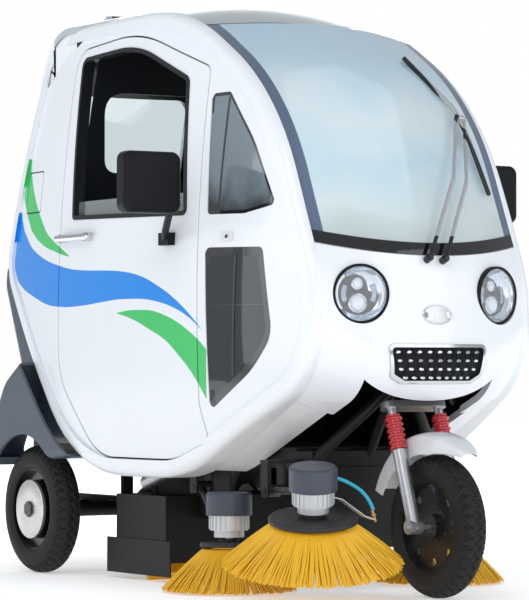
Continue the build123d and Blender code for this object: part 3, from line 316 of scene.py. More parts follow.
def swoosh_group(name, rows):
    group = bpy.data.node_groups.new(name, "ShaderNodeTree")
    group.interface.new_socket("Mask", in_out="OUTPUT", socket_type="NodeSocketFloat")
    nodes, links = group.nodes, group.links
    end = nodes.new("NodeGroupOutput")
    place, x, y, z = placed(nodes, links)
    low = number(nodes, links, "SUBTRACT", z, edge_curve(nodes, links, y, rows, 1))
    high = number(nodes, links, "SUBTRACT", edge_curve(nodes, links, y, rows, 2), z)
    mask = number(nodes, links, "MINIMUM", low, high)
    mask = remap(nodes, links, mask, -SOFT_EDGE, SOFT_EDGE)
    mask = number(nodes, links, "MULTIPLY", mask, number(nodes, links, "GREATER_THAN", y, rows[0][0]))
    mask = number(nodes, links, "MULTIPLY", mask, number(nodes, links, "LESS_THAN", y, rows[-1][0]))
    links.new(mask, end.inputs["Mask"])
    return group


def paint(name, colour, stripes, inward):
    # inward: "side" lines faces that look at the cab's middle plane, "hull" those that look at its centre
    material = finish_material(name, colour, 0.24, coat=0.35, grain=900, bump=0.00004, mottle=0.015,
                               dust=0.10, dust_colour=(0.45, 0.43, 0.40))
    nodes, links = material.node_tree.nodes, material.node_tree.links
    shader = nodes["Principled BSDF"]
    tone = shader.inputs["Base Color"].links[0].from_socket
    if stripes:
        for i, (tint, rows) in enumerate(SWOOSHES):
            band = nodes.new("ShaderNodeGroup")
            band.node_tree = SWOOSH_GROUPS[i]
            tone = blend_colour(nodes, links, band.outputs["Mask"], tone, tint)
    place, x, y, z = placed(nodes, links)
    normal = nodes.new("ShaderNodeTexCoord").outputs["Normal"]
    if inward == "side":
        facing = nodes.new("ShaderNodeSeparateXYZ")
        links.new(normal, facing.inputs[0])
        outwards = number(nodes, links, "MULTIPLY", facing.outputs["X"], number(nodes, links, "SIGN", x, 0))
        at_edge = number(nodes, links, "LESS_THAN", number(nodes, links, "ABSOLUTE", x, 0), SHELL_EDGE)
        outwards = number(nodes, links, "ADD", outwards, at_edge)
    else:
        away = vector_math(nodes, links, "SUBTRACT", place, CAB_CENTRE)
        outwards = vector_math(nodes, links, "DOT_PRODUCT", normal, away, "Value")
    lining = remap(nodes, links, outwards, *TURNED_IN)
    tone = blend_colour(nodes, links, lining, tone, LINING)
    links.new(tone, shader.inputs["Base Color"])
    return material


SHELL_EDGE = 0.4115  # the shells' inner rim, which stays white
TURNED_IN = (-0.28, -0.32)  # how far a face looks inwards where the lining starts, and where it is full
WHITE = (0.79, 0.82, 0.87)
LINING = (0.012, 0.013, 0.016)
CAB_CENTRE = (0, 0.1, 1.15)
SWOOSH_GROUPS = [swoosh_group("swoosh_%d" % i, rows) for i, (tint, rows) in enumerate(SWOOSHES)]
side_paint = paint("side_paint", WHITE, True, "side")
hull_paint = paint("hull_paint", WHITE, False, "hull")
dress(side_paint, "side_shell_left", "side_shell_right", "door_left", "door_right", "charge_flap")
dress(hull_paint, "nose_fascia", "nose_skirts", "rear_hatch")


# ---------------------------------------------------------------- roof
# The roof skin is a separate light grey moulding with a satin surface.
roof_paint = paint("roof_paint", (0.42, 0.48, 0.50), False, "hull")
dress(roof_paint, "roof_panel")


# ---------------------------------------------------------------- glazing
# The windshield is laminated glass with a printed dark border; the small side panes
# are smoked, and the rear pane and the door panes are clear with a faint blue tint.
# The windshield and the smoked panes carry a painted sky reflection in their colour.
def glass(name, colour, rough=0.03, through=0.9, coat=0.5):
    material = bpy.data.materials.new(name)
    material.use_nodes = True
    shader = material.node_tree.nodes["Principled BSDF"]
    shader.inputs["Base Color"].default_value = (*colour, 1)
    shader.inputs["Roughness"].default_value = rough
    shader.inputs["Transmission Weight"].default_value = through
    shader.inputs["IOR"].default_value = 1.45
    shader.inputs["Coat Weight"].default_value = coat
    return material


BORDER = 0.038
BASE_BORDER = 0.034
BASE_AT, BASE_RISE = (0.035, 1.150), (1.190 - 1.150) / 0.092  # a point on the lower edge, and its slope
PANE_HALF = 0.4097
PRINT_BLUR = 0.001
SIDE_PRINT, BASE_PRINT = (0.13, 0.18, 0.28), (0.012, 0.012, 0.014)
# painted sky reflection on the windshield: heights over which it runs from its lower colour to its upper one,
# with bright and dim bands between
REFLECTION_HEIGHTS = (1.12, 1.98)
REFLECTION_LOW, REFLECTION_HIGH = (0.62, 0.72, 0.72, 1), (0.62, 0.82, 0.97, 1)
REFLECTION_STOPS = [(0.22, (0.76, 0.87, 0.90)), (0.42, (0.64, 0.82, 0.91)), (0.62, (0.80, 0.92, 0.98)),
       (0.8, (0.66, 0.86, 0.98))]
windshield_glass = glass("windshield_glass", (0.6, 0.8, 0.9), 0.05, 0.30, 0.6)
nodes, links = windshield_glass.node_tree.nodes, windshield_glass.node_tree.links
place, x, y, z = placed(nodes, links)
# a slow ripple in the painted reflection, which shifts its bands up and down
reflection_ripple = remap(nodes, links, noise(nodes, links, place, 2.6, 4, 0.55), 0.3, 0.7, -0.09, 0.09)
painted_reflection = nodes.new("ShaderNodeValToRGB")
ramp = painted_reflection.color_ramp
ramp.elements[0].color, ramp.elements[1].color = REFLECTION_LOW, REFLECTION_HIGH
for where, tint in REFLECTION_STOPS:
    stop = ramp.elements.new(where)
    stop.color = (*tint, 1)
height = number(nodes, links, "ADD", z, reflection_ripple)
links.new(remap(nodes, links, height, *REFLECTION_HEIGHTS), painted_reflection.inputs["Fac"])
width = number(nodes, links, "ABSOLUTE", x, 0)
clear_half = PANE_HALF - BORDER
side_border = remap(nodes, links, width, clear_half - PRINT_BLUR, clear_half + PRINT_BLUR)
tone = blend_colour(nodes, links, side_border, painted_reflection.outputs["Color"], SIDE_PRINT)
along = number(nodes, links, "ADD", y, SHIFT - BASE_AT[0])
base_line = number(nodes, links, "MULTIPLY", along, BASE_RISE)
over_base = number(nodes, links, "SUBTRACT", number(nodes, links, "SUBTRACT", z, BASE_AT[1]), base_line)
base_border = remap(nodes, links, over_base, BASE_BORDER + PRINT_BLUR, BASE_BORDER - PRINT_BLUR)
tone = blend_colour(nodes, links, base_border, tone, BASE_PRINT)
links.new(tone, nodes["Principled BSDF"].inputs["Base Color"])
dress(windshield_glass, "windshield")

pane_glass = glass("pane_glass", (0.80, 0.90, 0.93))
dress(pane_glass, "rear_window", "door_glass_left", "door_glass_right")

# the lamps' covers are in the same node as the smoked panes, and lie nearer the middle
COVERS_TO, PANES_FROM = 0.395, 0.405
COVER_ALPHA = 0.14
# the side panes' colour runs from their own dark smoke at the bottom to a painted sky reflection, light
# blue-grey, at the top
SMOKE_REFLECTION_HEIGHTS = (1.24, 1.50)
smoked_glass = glass("smoked_glass", (0.30, 0.35, 0.38), 0.03, 0.55, 0.5)
nodes, links = smoked_glass.node_tree.nodes, smoked_glass.node_tree.links
shader = nodes["Principled BSDF"]
place, x, y, z = placed(nodes, links)
reflection_ripple = remap(nodes, links, noise(nodes, links, place, 5.0, 3), 0.35, 0.65, -0.10, 0.10)
height = remap(nodes, links, number(nodes, links, "ADD", z, reflection_ripple), *SMOKE_REFLECTION_HEIGHTS)
# dark smoke below, painted reflection above
tone = blend_colour(nodes, links, height, (0.040, 0.046, 0.052), (0.36, 0.44, 0.50))
width = number(nodes, links, "ABSOLUTE", x, 0)
on_side = remap(nodes, links, width, COVERS_TO, PANES_FROM)
links.new(blend_colour(nodes, links, on_side, (0.96, 0.98, 1.0), tone), shader.inputs["Base Color"])
links.new(remap(nodes, links, width, COVERS_TO, PANES_FROM, COVER_ALPHA, 1.0), shader.inputs["Alpha"])
dress(smoked_glass, "fixed_glass")


# ---------------------------------------------------------------- rubber
# Extruded black rubber runs round the door windows, behind the doors and round the hood.
rubber = finish_material("rubber", (0.010, 0.011, 0.013), 0.42, shine=0.25, grain=700, mottle=0.2)
dress(rubber, "door_rubber_left", "door_rubber_right", "door_seals", "rubber_skirts")


# ---------------------------------------------------------------- black mouldings
# Mirrors and small trim are moulded in grained black plastic. The wiper has bright
# steel arms on black bases and a black blade.
BLADE_LOW, BLADE_HIGH = (0.361, 1.20), (0.230, 1.867)  # across and up, on the blade
BLADE_HALF = 0.014
BASES_UP_TO = 1.215
black_plastic = finish_material("black_plastic", (0.006, 0.007, 0.009), 0.42, shine=0.16, grain=1100,
                                bump=0.0003, mottle=0.15)
dress(black_plastic, "mirror_left", "mirror_right", "charge_socket", "grille_mesh", "dashboard", "cab_floor",
      "steering_wheel")
wiper_finish = finish_material("wiper_finish", (0.55, 0.56, 0.58), 0.32, metal=0.8, grain=500, bump=0.0001)
nodes, links = wiper_finish.node_tree.nodes, wiper_finish.node_tree.links
shader = nodes["Principled BSDF"]
place, x, y, z = placed(nodes, links)
blade_line = remap(nodes, links, z, BLADE_LOW[1], BLADE_HIGH[1], BLADE_LOW[0], BLADE_HIGH[0])
off_blade = number(nodes, links, "ABSOLUTE", number(nodes, links, "SUBTRACT", x, blade_line), 0)
on_blade = number(nodes, links, "LESS_THAN", off_blade, BLADE_HALF)
dark = number(nodes, links, "MAXIMUM", on_blade, number(nodes, links, "LESS_THAN", z, BASES_UP_TO))
tone = shader.inputs["Base Color"].links[0].from_socket
links.new(blend_colour(nodes, links, dark, tone, (0.007, 0.008, 0.010)), shader.inputs["Base Color"])
links.new(remap(nodes, links, dark, 0, 1, 0.8, 0.0), shader.inputs["Metallic"])
dress(wiper_finish, "wiper")


# ---------------------------------------------------------------- bright trim
# The grille frame, the door handles and the lamp bowls are chrome plated.
chrome = finish_material("chrome", (0.62, 0.63, 0.66), 0.12, metal=1.0, grain=300, bump=0.00002,
                         mottle=0.05, dust=0.05)
dress(chrome, "grille_frame", "door_handle_left", "door_handle_right", "headlamps")


# ---------------------------------------------------------------- chassis
# Welded steel tube and plate in satin black, with dust along its lower side. The
# battery box and the roller's hood are folded sheet in the same black.
frame_black = finish_material("frame_black", (0.007, 0.007, 0.008), 0.45, grain=260, bump=0.0004,
                              mottle=0.3, shine=0.28)
dress(frame_black, "chassis_frame", "rear_axle", "leaf_springs", "roller_housing", "rear_bumper",
      "battery_box")


# ---------------------------------------------------------------- fork and suction tube
# The fork's legs are bright steel tube, with red coil springs at their upper ends. The
# slotted suction tube beside the roller's hood has the same bright finish.
silver = finish_material("silver", (0.55, 0.56, 0.58), 0.30, metal=0.9, grain=500, bump=0.0001,
                         mottle=0.12, dust=0.2)
dress(silver, "fork", "suction_tube")
spring_red = finish_material("spring_red", (0.50, 0.02, 0.03), 0.28, coat=0.5, grain=500, bump=0.0001)
dress(spring_red, "fork_springs")


# ---------------------------------------------------------------- rear body, lamps and seat
# The rear body and its fenders are moulded in dark blue-grey plastic with red tail
# lamps. The seat is padded and covered in grained black vinyl.
fender_grey = finish_material("fender_grey", (0.052, 0.072, 0.100), 0.36, grain=900, bump=0.0003,
                              mottle=0.08, dust=0.15)
dress(fender_grey, "rear_fenders", "rear_body")
seat_black = finish_material("seat_black", (0.012, 0.012, 0.014), 0.5, shine=0.3, grain=180, bump=0.001,
                             mottle=0.15)
dress(seat_black, "seat")
lamp_red = finish_material("lamp_red", (0.5, 0.01, 0.012), 0.12, coat=1.0, grain=120, bump=0.0006, mottle=0.2)
dress(lamp_red, "tail_lamps")


# ---------------------------------------------------------------- wheels
# Pressed rims under rubber tyres; the rear ones carry a bright cover disc.
rim_black = finish_material("rim_black", (0.006, 0.006, 0.007), 0.25, coat=0.3, shine=0.4, dust=0.08,
                            grain=300, bump=0.0001)
dress(rim_black, "front_rim", "rear_rim_left", "rear_rim_right")
tyre_rubber = finish_material("tyre_rubber", (0.009, 0.009, 0.0095), 0.58, grain=300, bump=0.0005,
                              mottle=0.25, shine=0.3)
dress(tyre_rubber, "front_tyre", "rear_tyre_left", "rear_tyre_right")


# ---------------------------------------------------------------- side brushes
# Each brush hangs under a hub motor with a round cap: a dark carrier plate holds
# hundreds of yellow bristles that flare out to the ground.
plate_dark = finish_material("plate_dark", (0.026, 0.027, 0.030), 0.42, shine=0.3, grain=500,
                             bump=0.0003, mottle=0.2)
bristle_yellow = finish_material("bristle_yellow", (1.0, 0.52, 0.028), 0.40, shine=0.35, grain=60,
                                 bump=0.0004, mottle=0.2, dust=0.05)

# name, place, lean and its turn in degrees, tip radius, height of the plate, plate radius, count
BRUSHES = [
    ("front", (-0.457, 0.062 - SHIFT, 0.122), 12, -31.8, 0.303, 0.145, 0.148, 1000),
    ("right", (-0.440, 0.622 - SHIFT, 0.003), 0, 0, 0.235, 0.150, 0.101, 720),
    ("left", (0.440, 0.622 - SHIFT, 0.003), 0, 0, 0.235, 0.150, 0.101, 720),
]
BRISTLE_STEPS = 5
BRISTLE_THICK = 0.0016
ROOTS, ROOT_SPREAD = 0.62, 0.28  # share of the plate's radius
TIPS, TIP_SPREAD = 0.90, 0.085  # share of the tip radius
ROOT_DEPTH = 0.004  # how far the roots sit in the plate
BULGE = 0.016
random.seed(7)
for name, place_at, lean, turn, tip_radius, plate_height, plate_radius, count in BRUSHES:
    vertices, faces = [], []
    for i in range(count):
        angle = 2 * math.pi * (i + random.random()) / count
        ring = (i % 3) / 2
        root = plate_radius * (ROOTS + ROOT_SPREAD * ring)
        tip = tip_radius * (TIPS + TIP_SPREAD * ring + random.uniform(-0.02, 0.012))
        twist = random.uniform(-0.05, 0.05)
        drop = random.uniform(0.002, 0.012)
        for k in range(BRISTLE_STEPS + 1):
            share = k / BRISTLE_STEPS
            out_by = root + (tip - root) * share
            turned = angle + twist * share * share
            hung = (plate_height - ROOT_DEPTH) * (1 - share) + drop * share
            z = hung + BULGE * share * (1 - share)
            middle = Vector((out_by * math.cos(turned), out_by * math.sin(turned), z))
            wide = BRISTLE_THICK * (1 + 1.1 * share)
            side_way = Vector((-math.sin(turned), math.cos(turned), 0)) * wide
            up_way = Vector((0.4 * math.cos(turned), 0.4 * math.sin(turned), 0.9)) * BRISTLE_THICK
            vertices += [middle + side_way, middle - side_way, middle + up_way]
            if k:
                base = len(vertices) - 6
                for a, b in ((0, 1), (1, 2), (2, 0)):
                    faces.append((base + a, base + 3 + a, base + 3 + b, base + b))
        base = len(vertices) - 3 * (BRISTLE_STEPS + 1)
        faces.append((base, base + 1, base + 2))
        last = len(vertices) - 3
        faces.append((last, last + 2, last + 1))
    bristles = mesh_object("bristles_" + name, vertices, faces)
    tilted = Matrix.Rotation(math.radians(turn), 4, "Z") @ Matrix.Rotation(math.radians(lean), 4, "X")
    bristles.data.transform(Matrix.Translation(place_at) @ tilted)
    bristles.data.materials.append(bristle_yellow)
    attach(bristles, "brush_rotor_" + name)
    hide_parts("brush_tines_" + name)
    dress(plate_dark, "brush_disc_" + name)
dress(bristle_yellow, "main_roller")


# ---------------------------------------------------------------- brush motors
# Each brush hangs from a geared motor: a painted steel cap over a ribbed alloy ring,
# held by a black arm that swings on the frame.
CAP_OVER_PLATE = 0.111
HOUSING_RADIUS = 0.084
CAP_GREY, ARM_BLACK = (0.046, 0.056, 0.080), (0.015, 0.015, 0.017)


def motor_finish(name, foot, lean, turn, cap_from):
    # alloy housing with its cap picked out, and a black arm outside the housing
    material = finish_material(name, (0.62, 0.63, 0.64), 0.34, metal=0.55, grain=500, mottle=0.12)
    nodes, links = material.node_tree.nodes, material.node_tree.links
    shader = nodes["Principled BSDF"]
    tone = shader.inputs["Base Color"].links[0].from_socket
    lean, turn = math.radians(lean), math.radians(turn)
    axis = (math.sin(lean) * math.sin(turn), -math.sin(lean) * math.cos(turn), math.cos(lean))
    away = vector_math(nodes, links, "SUBTRACT", placed(nodes, links)[0], foot)
    along = vector_math(nodes, links, "DOT_PRODUCT", away, axis, "Value")
    off = vector_math(nodes, links, "CROSS_PRODUCT", away, axis)
    radius = vector_math(nodes, links, "LENGTH", off, None, "Value")
    in_cap = number(nodes, links, "GREATER_THAN", along, cap_from)
    tone = blend_colour(nodes, links, in_cap, tone, CAP_GREY)
    on_arm = number(nodes, links, "GREATER_THAN", radius, HOUSING_RADIUS)
    tone = blend_colour(nodes, links, on_arm, tone, ARM_BLACK)
    links.new(tone, shader.inputs["Base Color"])
    painted = number(nodes, links, "MAXIMUM", in_cap, on_arm)
    links.new(remap(nodes, links, painted, 0, 1, 0.55, 0.0), shader.inputs["Metallic"])
    return material


for name, foot, lean, turn, tip_radius, plate_height, plate_radius, count in BRUSHES:
    motor = motor_finish("motor_finish_" + name, foot, lean, turn, plate_height + CAP_OVER_PLATE)
    dress(motor, "brush_arm_" + name)


# ---------------------------------------------------------------- headlamps
# Two round sealed lamps sit in the nose behind clear covers: a black rim, a bright
# bowl, a dark mask with one large and one small projector, and a white light strip.
def lathe(profile, steps=48):
    # a profile of (radius, height) rows turned round the z axis
    vertices, faces = [], []
    for i in range(steps):
        angle = 2 * math.pi * i / steps
        for radius, height in profile:
            vertices.append((radius * math.cos(angle), radius * math.sin(angle), height))
    rows = len(profile)
    for i in range(steps):
        for k in range(rows - 1):
            a, b = i * rows + k, ((i + 1) % steps) * rows + k
            faces.append((a, b, b + 1, a + 1))
    return vertices, faces


def ring_faces(count, rings):
    # quads between closed rings of points that follow one another in the list
    faces = []
    for k in range(rings - 1):
        for i in range(count):
            a, b = k * count + i, k * count + (i + 1) % count
            faces.append((a, b, b + count, a + count))
    return faces


def slab(outline, low, high, edge=0.0):
    # a flat plate from a closed outline, with a small bevel round its upper edge
    count = len(outline)
    middle = Vector((sum(p[0] for p in outline) / count, sum(p[1] for p in outline) / count))
    vertices = []
    levels = [(low, 0.0), (high - edge, 0.0), (high, edge)] if edge else [(low, 0.0), (high, 0.0)]
    for height, inset in levels:
        for x, y in outline:
            inwards = middle - Vector((x, y))
            shift = inwards.normalized() * inset if inwards.length > inset else inwards
            vertices.append((x + shift.x, y + shift.y, height))
    faces = ring_faces(count, len(levels))
    faces.append(tuple(reversed(range(count))))
    faces.append(tuple(range((len(levels) - 1) * count, len(levels) * count)))
    return vertices, faces


def arc_strip(inner, outer, start, stop, low, high, steps=16):
    # a curved bar round the z axis
    outline = []
    for i in range(steps + 1):
        angle = math.radians(start + (stop - start) * i / steps)
        outline.append((outer * math.cos(angle), outer * math.sin(angle)))
    for i in range(steps, -1, -1):
        angle = math.radians(start + (stop - start) * i / steps)
        outline.append((inner * math.cos(angle), inner * math.sin(angle)))
    return slab(outline, low, high)


def bar(sections):
    # a closed bar through sections of four points each
    vertices = [tuple(point) for section in sections for point in section]
    faces = []
    for a in range(0, len(vertices) - 4, 4):
        for i in range(4):
            j = (i + 1) % 4
            faces.append((a + i, a + 4 + i, a + 4 + j, a + j))
    last = len(vertices) - 4
    return vertices, faces + [(0, 1, 2, 3), (last + 3, last + 2, last + 1, last)]


def assemble(name, body, parts, smooth=True):
    # joins (mesh, matrix, material) rows into one piece that rides on a body
    mesh = bpy.data.meshes.new(name)
    materials, vertices, faces, indices = [], [], [], []
    for (part_vertices, part_faces), matrix, material in parts:
        if material not in materials:
            materials.append(material)
        base = len(vertices)
        vertices += [matrix @ Vector(v) for v in part_vertices]
        faces += [tuple(base + i for i in face) for face in part_faces]
        indices += [materials.index(material)] * len(part_faces)
    mesh.from_pydata(vertices, [], faces)
    mesh.update()
    for material in materials:
        mesh.materials.append(material)
    for face, index in zip(mesh.polygons, indices):
        face.material_index = index
        face.use_smooth = smooth
    if smooth:
        mesh.set_sharp_from_angle(angle=math.radians(38))
    made = bpy.data.objects.new(name, mesh)
    scene.collection.objects.link(made)
    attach(made, body)
    return made


def frame_at(origin, outward, up=(0, 0, 1)):
    # a matrix whose z points outward and whose y points as near to up as it can
    z = Vector(outward).normalized()
    x = Vector(up).cross(z).normalized()
    y = z.cross(x)
    matrix = Matrix((x, y, z)).transposed().to_4x4()
    matrix.translation = Vector(origin)
    return matrix


LAMP_AT = (0.278, 0.0463 - SHIFT, 1.017)
LAMP_TURN = math.radians(14)
lamp_bowl = finish_material("lamp_bowl", (0.62, 0.70, 0.80), 0.12, metal=0.9, grain=200, bump=0.0001,
                            mottle=0.2, dust=0)
lamp_mask = finish_material("lamp_mask", (0.045, 0.05, 0.062), 0.18, coat=0.6, grain=300, bump=0.0001, dust=0)
lamp_lens = finish_material("lamp_lens", (0.66, 0.72, 0.82), 0.06, coat=1.0, grain=150, mottle=0.15, dust=0)
lamp_light = finish_material("lamp_light", (0.95, 0.96, 1.0), 0.2, coat=0.8, grain=150, bump=0.0001,
                             mottle=0.02, dust=0)
CAN = [(0.0997, -0.060), (0.0997, 0.006), (0.0972, 0.009), (0.0930, 0.009), (0.0912, 0.006), (0.0912, -0.003)]
BOWL = [(0.0912, -0.003), (0.080, -0.019), (0.062, -0.031), (0.035, -0.040), (0.0005, -0.042)]
BROW = [(-0.074, -0.006), (-0.066, -0.036), (-0.045, -0.058), (-0.015, -0.070), (0.020, -0.069),
        (0.050, -0.054), (0.070, -0.030), (0.075, -0.002), (0.052, 0.006), (0.036, 0.012), (0.030, 0.040),
        (0.016, 0.054), (-0.004, 0.060), (-0.030, 0.056), (-0.058, 0.046), (-0.070, 0.030)]
PROJECTORS = [(-0.004, -0.031, 0.029, 0.016), (-0.006, 0.034, 0.017, 0.009)]  # across, up, radius, bulge
MASK_ARCS = [(150, 208), (-28, 30)]  # degrees
LIGHT_ARCS = [(132, 218), (-38, 48)]


def dome(radius, height, base):
    rows = [(radius * math.cos(a), base + height * math.sin(a))
            for a in (math.radians(15 * i) for i in range(6))]
    return lathe(rows + [(0.0004, base + height)], 32)


def collar(inner, outer, low, high):
    return lathe([(outer, low), (outer, high), (inner, high + 0.001), (inner - 0.001, low)], 40)


for side, word in ((-1, "right"), (1, "left")):
    seat_frame = frame_at((side * LAMP_AT[0], LAMP_AT[1], LAMP_AT[2]),
                          (side * math.sin(LAMP_TURN), -math.cos(LAMP_TURN), 0))
    parts = [
        (lathe(CAN), seat_frame, black_plastic),
        (lathe(BOWL), seat_frame, lamp_bowl),
        (slab(BROW, -0.034, -0.024, 0.002), seat_frame, lamp_mask),
    ]
    for u, v, radius, height in PROJECTORS:
        place_there = seat_frame @ Matrix.Translation((u, v, 0))
        parts.append((collar(radius, radius + 0.003, -0.030, -0.020), place_there, chrome))
        parts.append((dome(radius, height, -0.022), place_there, lamp_lens))
    for start, stop in MASK_ARCS:
        parts.append((arc_strip(0.046, 0.062, start, stop, -0.024, -0.020), seat_frame, lamp_bowl))
    for start, stop in LIGHT_ARCS:
        parts.append((arc_strip(0.078, 0.085, start, stop, -0.012, -0.008, 24), seat_frame, lamp_light))
    lamp = assemble("headlamp_" + word, "chassis", parts)
    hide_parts("headlamps")


# ---------------------------------------------------------------- grille and badge
# A black mesh behind the chrome frame carries four rows of bright six-sided studs;
# above it a blank oval badge is pressed into the nose.
def surface(name):
    # a CAD node's skin, ready to be touched by rays
    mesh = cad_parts[name].data
    corners = [v.co.copy() for v in mesh.vertices]
    return BVHTree.FromPolygons(corners, [tuple(f.vertices) for f in mesh.polygons])


def touch(tree, start, direction):
    # where a ray first meets the skin, and the skin's outward direction there
    point, normal, face, distance = tree.ray_cast(Vector(start), Vector(direction).normalized())
    if point is None:
        return None, None
    if normal.dot(Vector(direction)) > 0:
        normal = -normal
    return point, normal


nose_skin = surface("nose_fascia")
mesh_skin = surface("grille_mesh")
HEX = [(math.cos(math.radians(60 * i)), math.sin(math.radians(60 * i))) for i in range(6)]
STUD_WIDE, STUD_TALL, STUD_PROUD = 0.0105, 0.0062, 0.004
STUD_TOP, STUD_GAP = 0.829, 0.0285
STUD_REACH = (0.160, 0.155, 0.147, 0.126)  # half the length of each row
NOSE_FRONT = -1.4
WIRE_HALF, WIRE_PROUD = 0.0016, 0.0022
parts = []
for row in range(4):
    z = STUD_TOP - 0.006 - row * STUD_GAP
    reach = STUD_REACH[row]
    for column in range(9):
        x = -reach + 2 * reach * column / 8
        point, normal = touch(mesh_skin, (x, NOSE_FRONT, z), (0, 1, 0))
        if point is None:
            continue
        outline = [(STUD_WIDE * a, STUD_TALL * b) for a, b in HEX]
        parts.append((slab(outline, -0.002, STUD_PROUD, 0.0022), frame_at(point, normal), chrome))
for i in range(-7, 8):
    for lean in (-1, 1):
        ends = []
        for step in range(9):
            z = 0.729 + 0.108 * step / 8
            x = 0.040 * i + lean * (0.02 - 0.04 * step / 8) * 1.35
            point, normal = touch(mesh_skin, (x, NOSE_FRONT, z), (0, 1, 0))
            ends.append((point, normal) if point else None)
        for one, two in zip(ends, ends[1:]):
            if one and two:
                (a, na), (b, nb) = one, two
                along = (b - a).normalized()
                wide = along.cross(na).normalized() * WIRE_HALF
                lift = na * WIRE_PROUD
                wire = bar([(p + wide, p + wide + lift, p - wide + lift, p - wide) for p in (a, b)])
                parts.append((wire, Matrix.Identity(4), black_plastic))
assemble("grille_studs", "chassis", parts, smooth=False)

badge_skin = finish_material("badge_skin", (0.58, 0.59, 0.61), 0.16, metal=0.9, grain=300, bump=0.0001,
                             mottle=0.04, dust=0)
BADGE_HALF = (0.060, 0.034)
badge_point, badge_normal = touch(nose_skin, (0, NOSE_FRONT, 0.948), (0, 1, 0))
oval = [(math.cos(math.radians(7.5 * i)), math.sin(math.radians(7.5 * i))) for i in range(48)]
# share of the oval's size, height over the nose
BADGE_LEVELS = [(1.0, -0.002), (1.0, 0.002), (0.97, 0.0034), (0.92, 0.0034), (0.88, 0.0018), (0.6, 0.0026),
                (0.3, 0.0031), (0.01, 0.0033)]
vertices = []
for share, height in BADGE_LEVELS:
    vertices += [(share * BADGE_HALF[0] * a, share * BADGE_HALF[1] * b, height) for a, b in oval]
badge = (vertices, ring_faces(len(oval), len(BADGE_LEVELS)))
badge_frame = frame_at(badge_point, badge_normal)
assemble("nose_badge", "chassis", [(badge, badge_frame, badge_skin)])


# ---------------------------------------------------------------- quarter windows
# Each fixed side pane is bonded in behind a printed black border, with a thin rubber
# lip round it; the lower one has a slider bar upright in the middle.
def rounded(corners, steps=6):
    # an outline of (y, z, radius) corners as points with the corners rounded
    points = []
    count = len(corners)
    for i, (y, z, radius) in enumerate(corners):
        here = Vector((y, z))
        before = (Vector(corners[i - 1][:2]) - here)
        after = (Vector(corners[(i + 1) % count][:2]) - here)
        half = before.angle(after) / 2
        cut = min(radius / math.tan(half), before.length * 0.49, after.length * 0.49)
        first, last = here + before.normalized() * cut, here + after.normalized() * cut
        for k in range(steps + 1):
            share = k / steps
            points.append(first.lerp(here, share).lerp(here.lerp(last, share), share))
    return points


def inset(points, amount):
    # the same outline drawn in by an amount
    count = len(points)
    area = sum(points[i - 1].x * points[i].y - points[i].x * points[i - 1].y for i in range(count))
    turn = 1 if area > 0 else -1
    moved = []
    for i in range(count):
        edge_a, edge_b = points[i] - points[i - 1], points[(i + 1) % count] - points[i]
        way = (edge_a.normalized() if edge_a.length > 1e-7 else Vector((0, 0))) + (
            edge_b.normalized() if edge_b.length > 1e-7 else Vector((0, 0)))
        way = way.normalized() if way.length > 1e-7 else Vector((1, 0))
        moved.append(points[i] + Vector((-way.y, way.x)) * amount * turn)
    return moved


UPPER_PANE = [(0.712, 1.724, 0.022), (0.606, 1.724, 0.020), (0.440, 1.545, 0.5), (0.300, 1.322, 0.018),
              (0.464, 1.296, 0.060), (0.670, 1.300, 0.018)]
LOWER_PANE = [(0.672, 1.186, 0.025), (0.355, 1.180, 0.025), (0.292, 0.880, 0.1), (0.390, 0.765, 0.4),
              (0.628, 0.620, 0.024)]
pane_skin = surface("fixed_glass")
border_black = finish_material("border_black", (0.012, 0.013, 0.016), 0.10, coat=1.0, grain=500,
                               bump=0.00005, dust=0.1)


def pane_band(corners, near, far, side, lift, material):
    # a band that follows the pane's edge, from one inset to another, just proud of the glass
    outline = [Vector((p.x - SHIFT, p.y)) for p in rounded(corners)]
    rings = [inset(outline, near), inset(outline, far)]
    vertices = []
    for height in (lift, -0.001):
        for ring in rings:
            for point in ring:
                spot, normal = touch(pane_skin, (side * 0.8, point.x, point.y), (-side, 0, 0))
                missed = spot is None or abs(spot.x) < 0.40
                vertices.append(None if missed else spot + normal * height)
    count = len(outline)
    last = next(v for v in vertices if v is not None)
    for i, vertex in enumerate(vertices):
        last = vertices[i] = last if vertex is None else vertex
    faces = []
    for i in range(count):
        j = (i + 1) % count
        faces.append((i, j, count + j, count + i))
        faces.append((2 * count + i, 3 * count + i, 3 * count + j, 2 * count + j))
        faces.append((i, 2 * count + i, 2 * count + j, j))
        faces.append((count + i, count + j, 3 * count + j, 3 * count + i))
    return (vertices, [face[::side] for face in faces]), Matrix.Identity(4), material


def pane_bar(ends, wide, side, lift, material, steps=12):
    # a straight bar laid over the pane between two points
    start, stop = (Vector((y - SHIFT, z)) for y, z in ends)
    across_way = Vector((-(stop - start).y, (stop - start).x)).normalized() * wide / 2
    sections = []
    for k in range(steps + 1):
        point = start.lerp(stop, k / steps)
        section = []
        for sign in (-1, 1):
            q = point + across_way * sign
            spot, normal = touch(pane_skin, (side * 0.8, q.x, q.y), (-side, 0, 0))
            section += [spot + normal * lift, spot - normal * 0.001][::-sign]
        sections.append(section[::-side])
    return bar(sections), Matrix.Identity(4), material


for side, word in ((-1, "right"), (1, "left")):
    parts = [
        pane_band(UPPER_PANE, 0.001, 0.012, side, 0.0012, border_black),
        pane_band(LOWER_PANE, 0.001, 0.030, side, 0.0012, border_black),
        pane_bar(((0.500, 1.155), (0.500, 0.745)), 0.012, side, 0.002, border_black),
        pane_bar(((0.640, 0.985), (0.330, 0.985)), 0.005, side, 0.0016, border_black),
        pane_bar(((0.610, 1.32), (0.610, 1.705)), 0.008, side, 0.0014, border_black),
    ]
    assemble("quarter_trim_" + word, "chassis", parts)


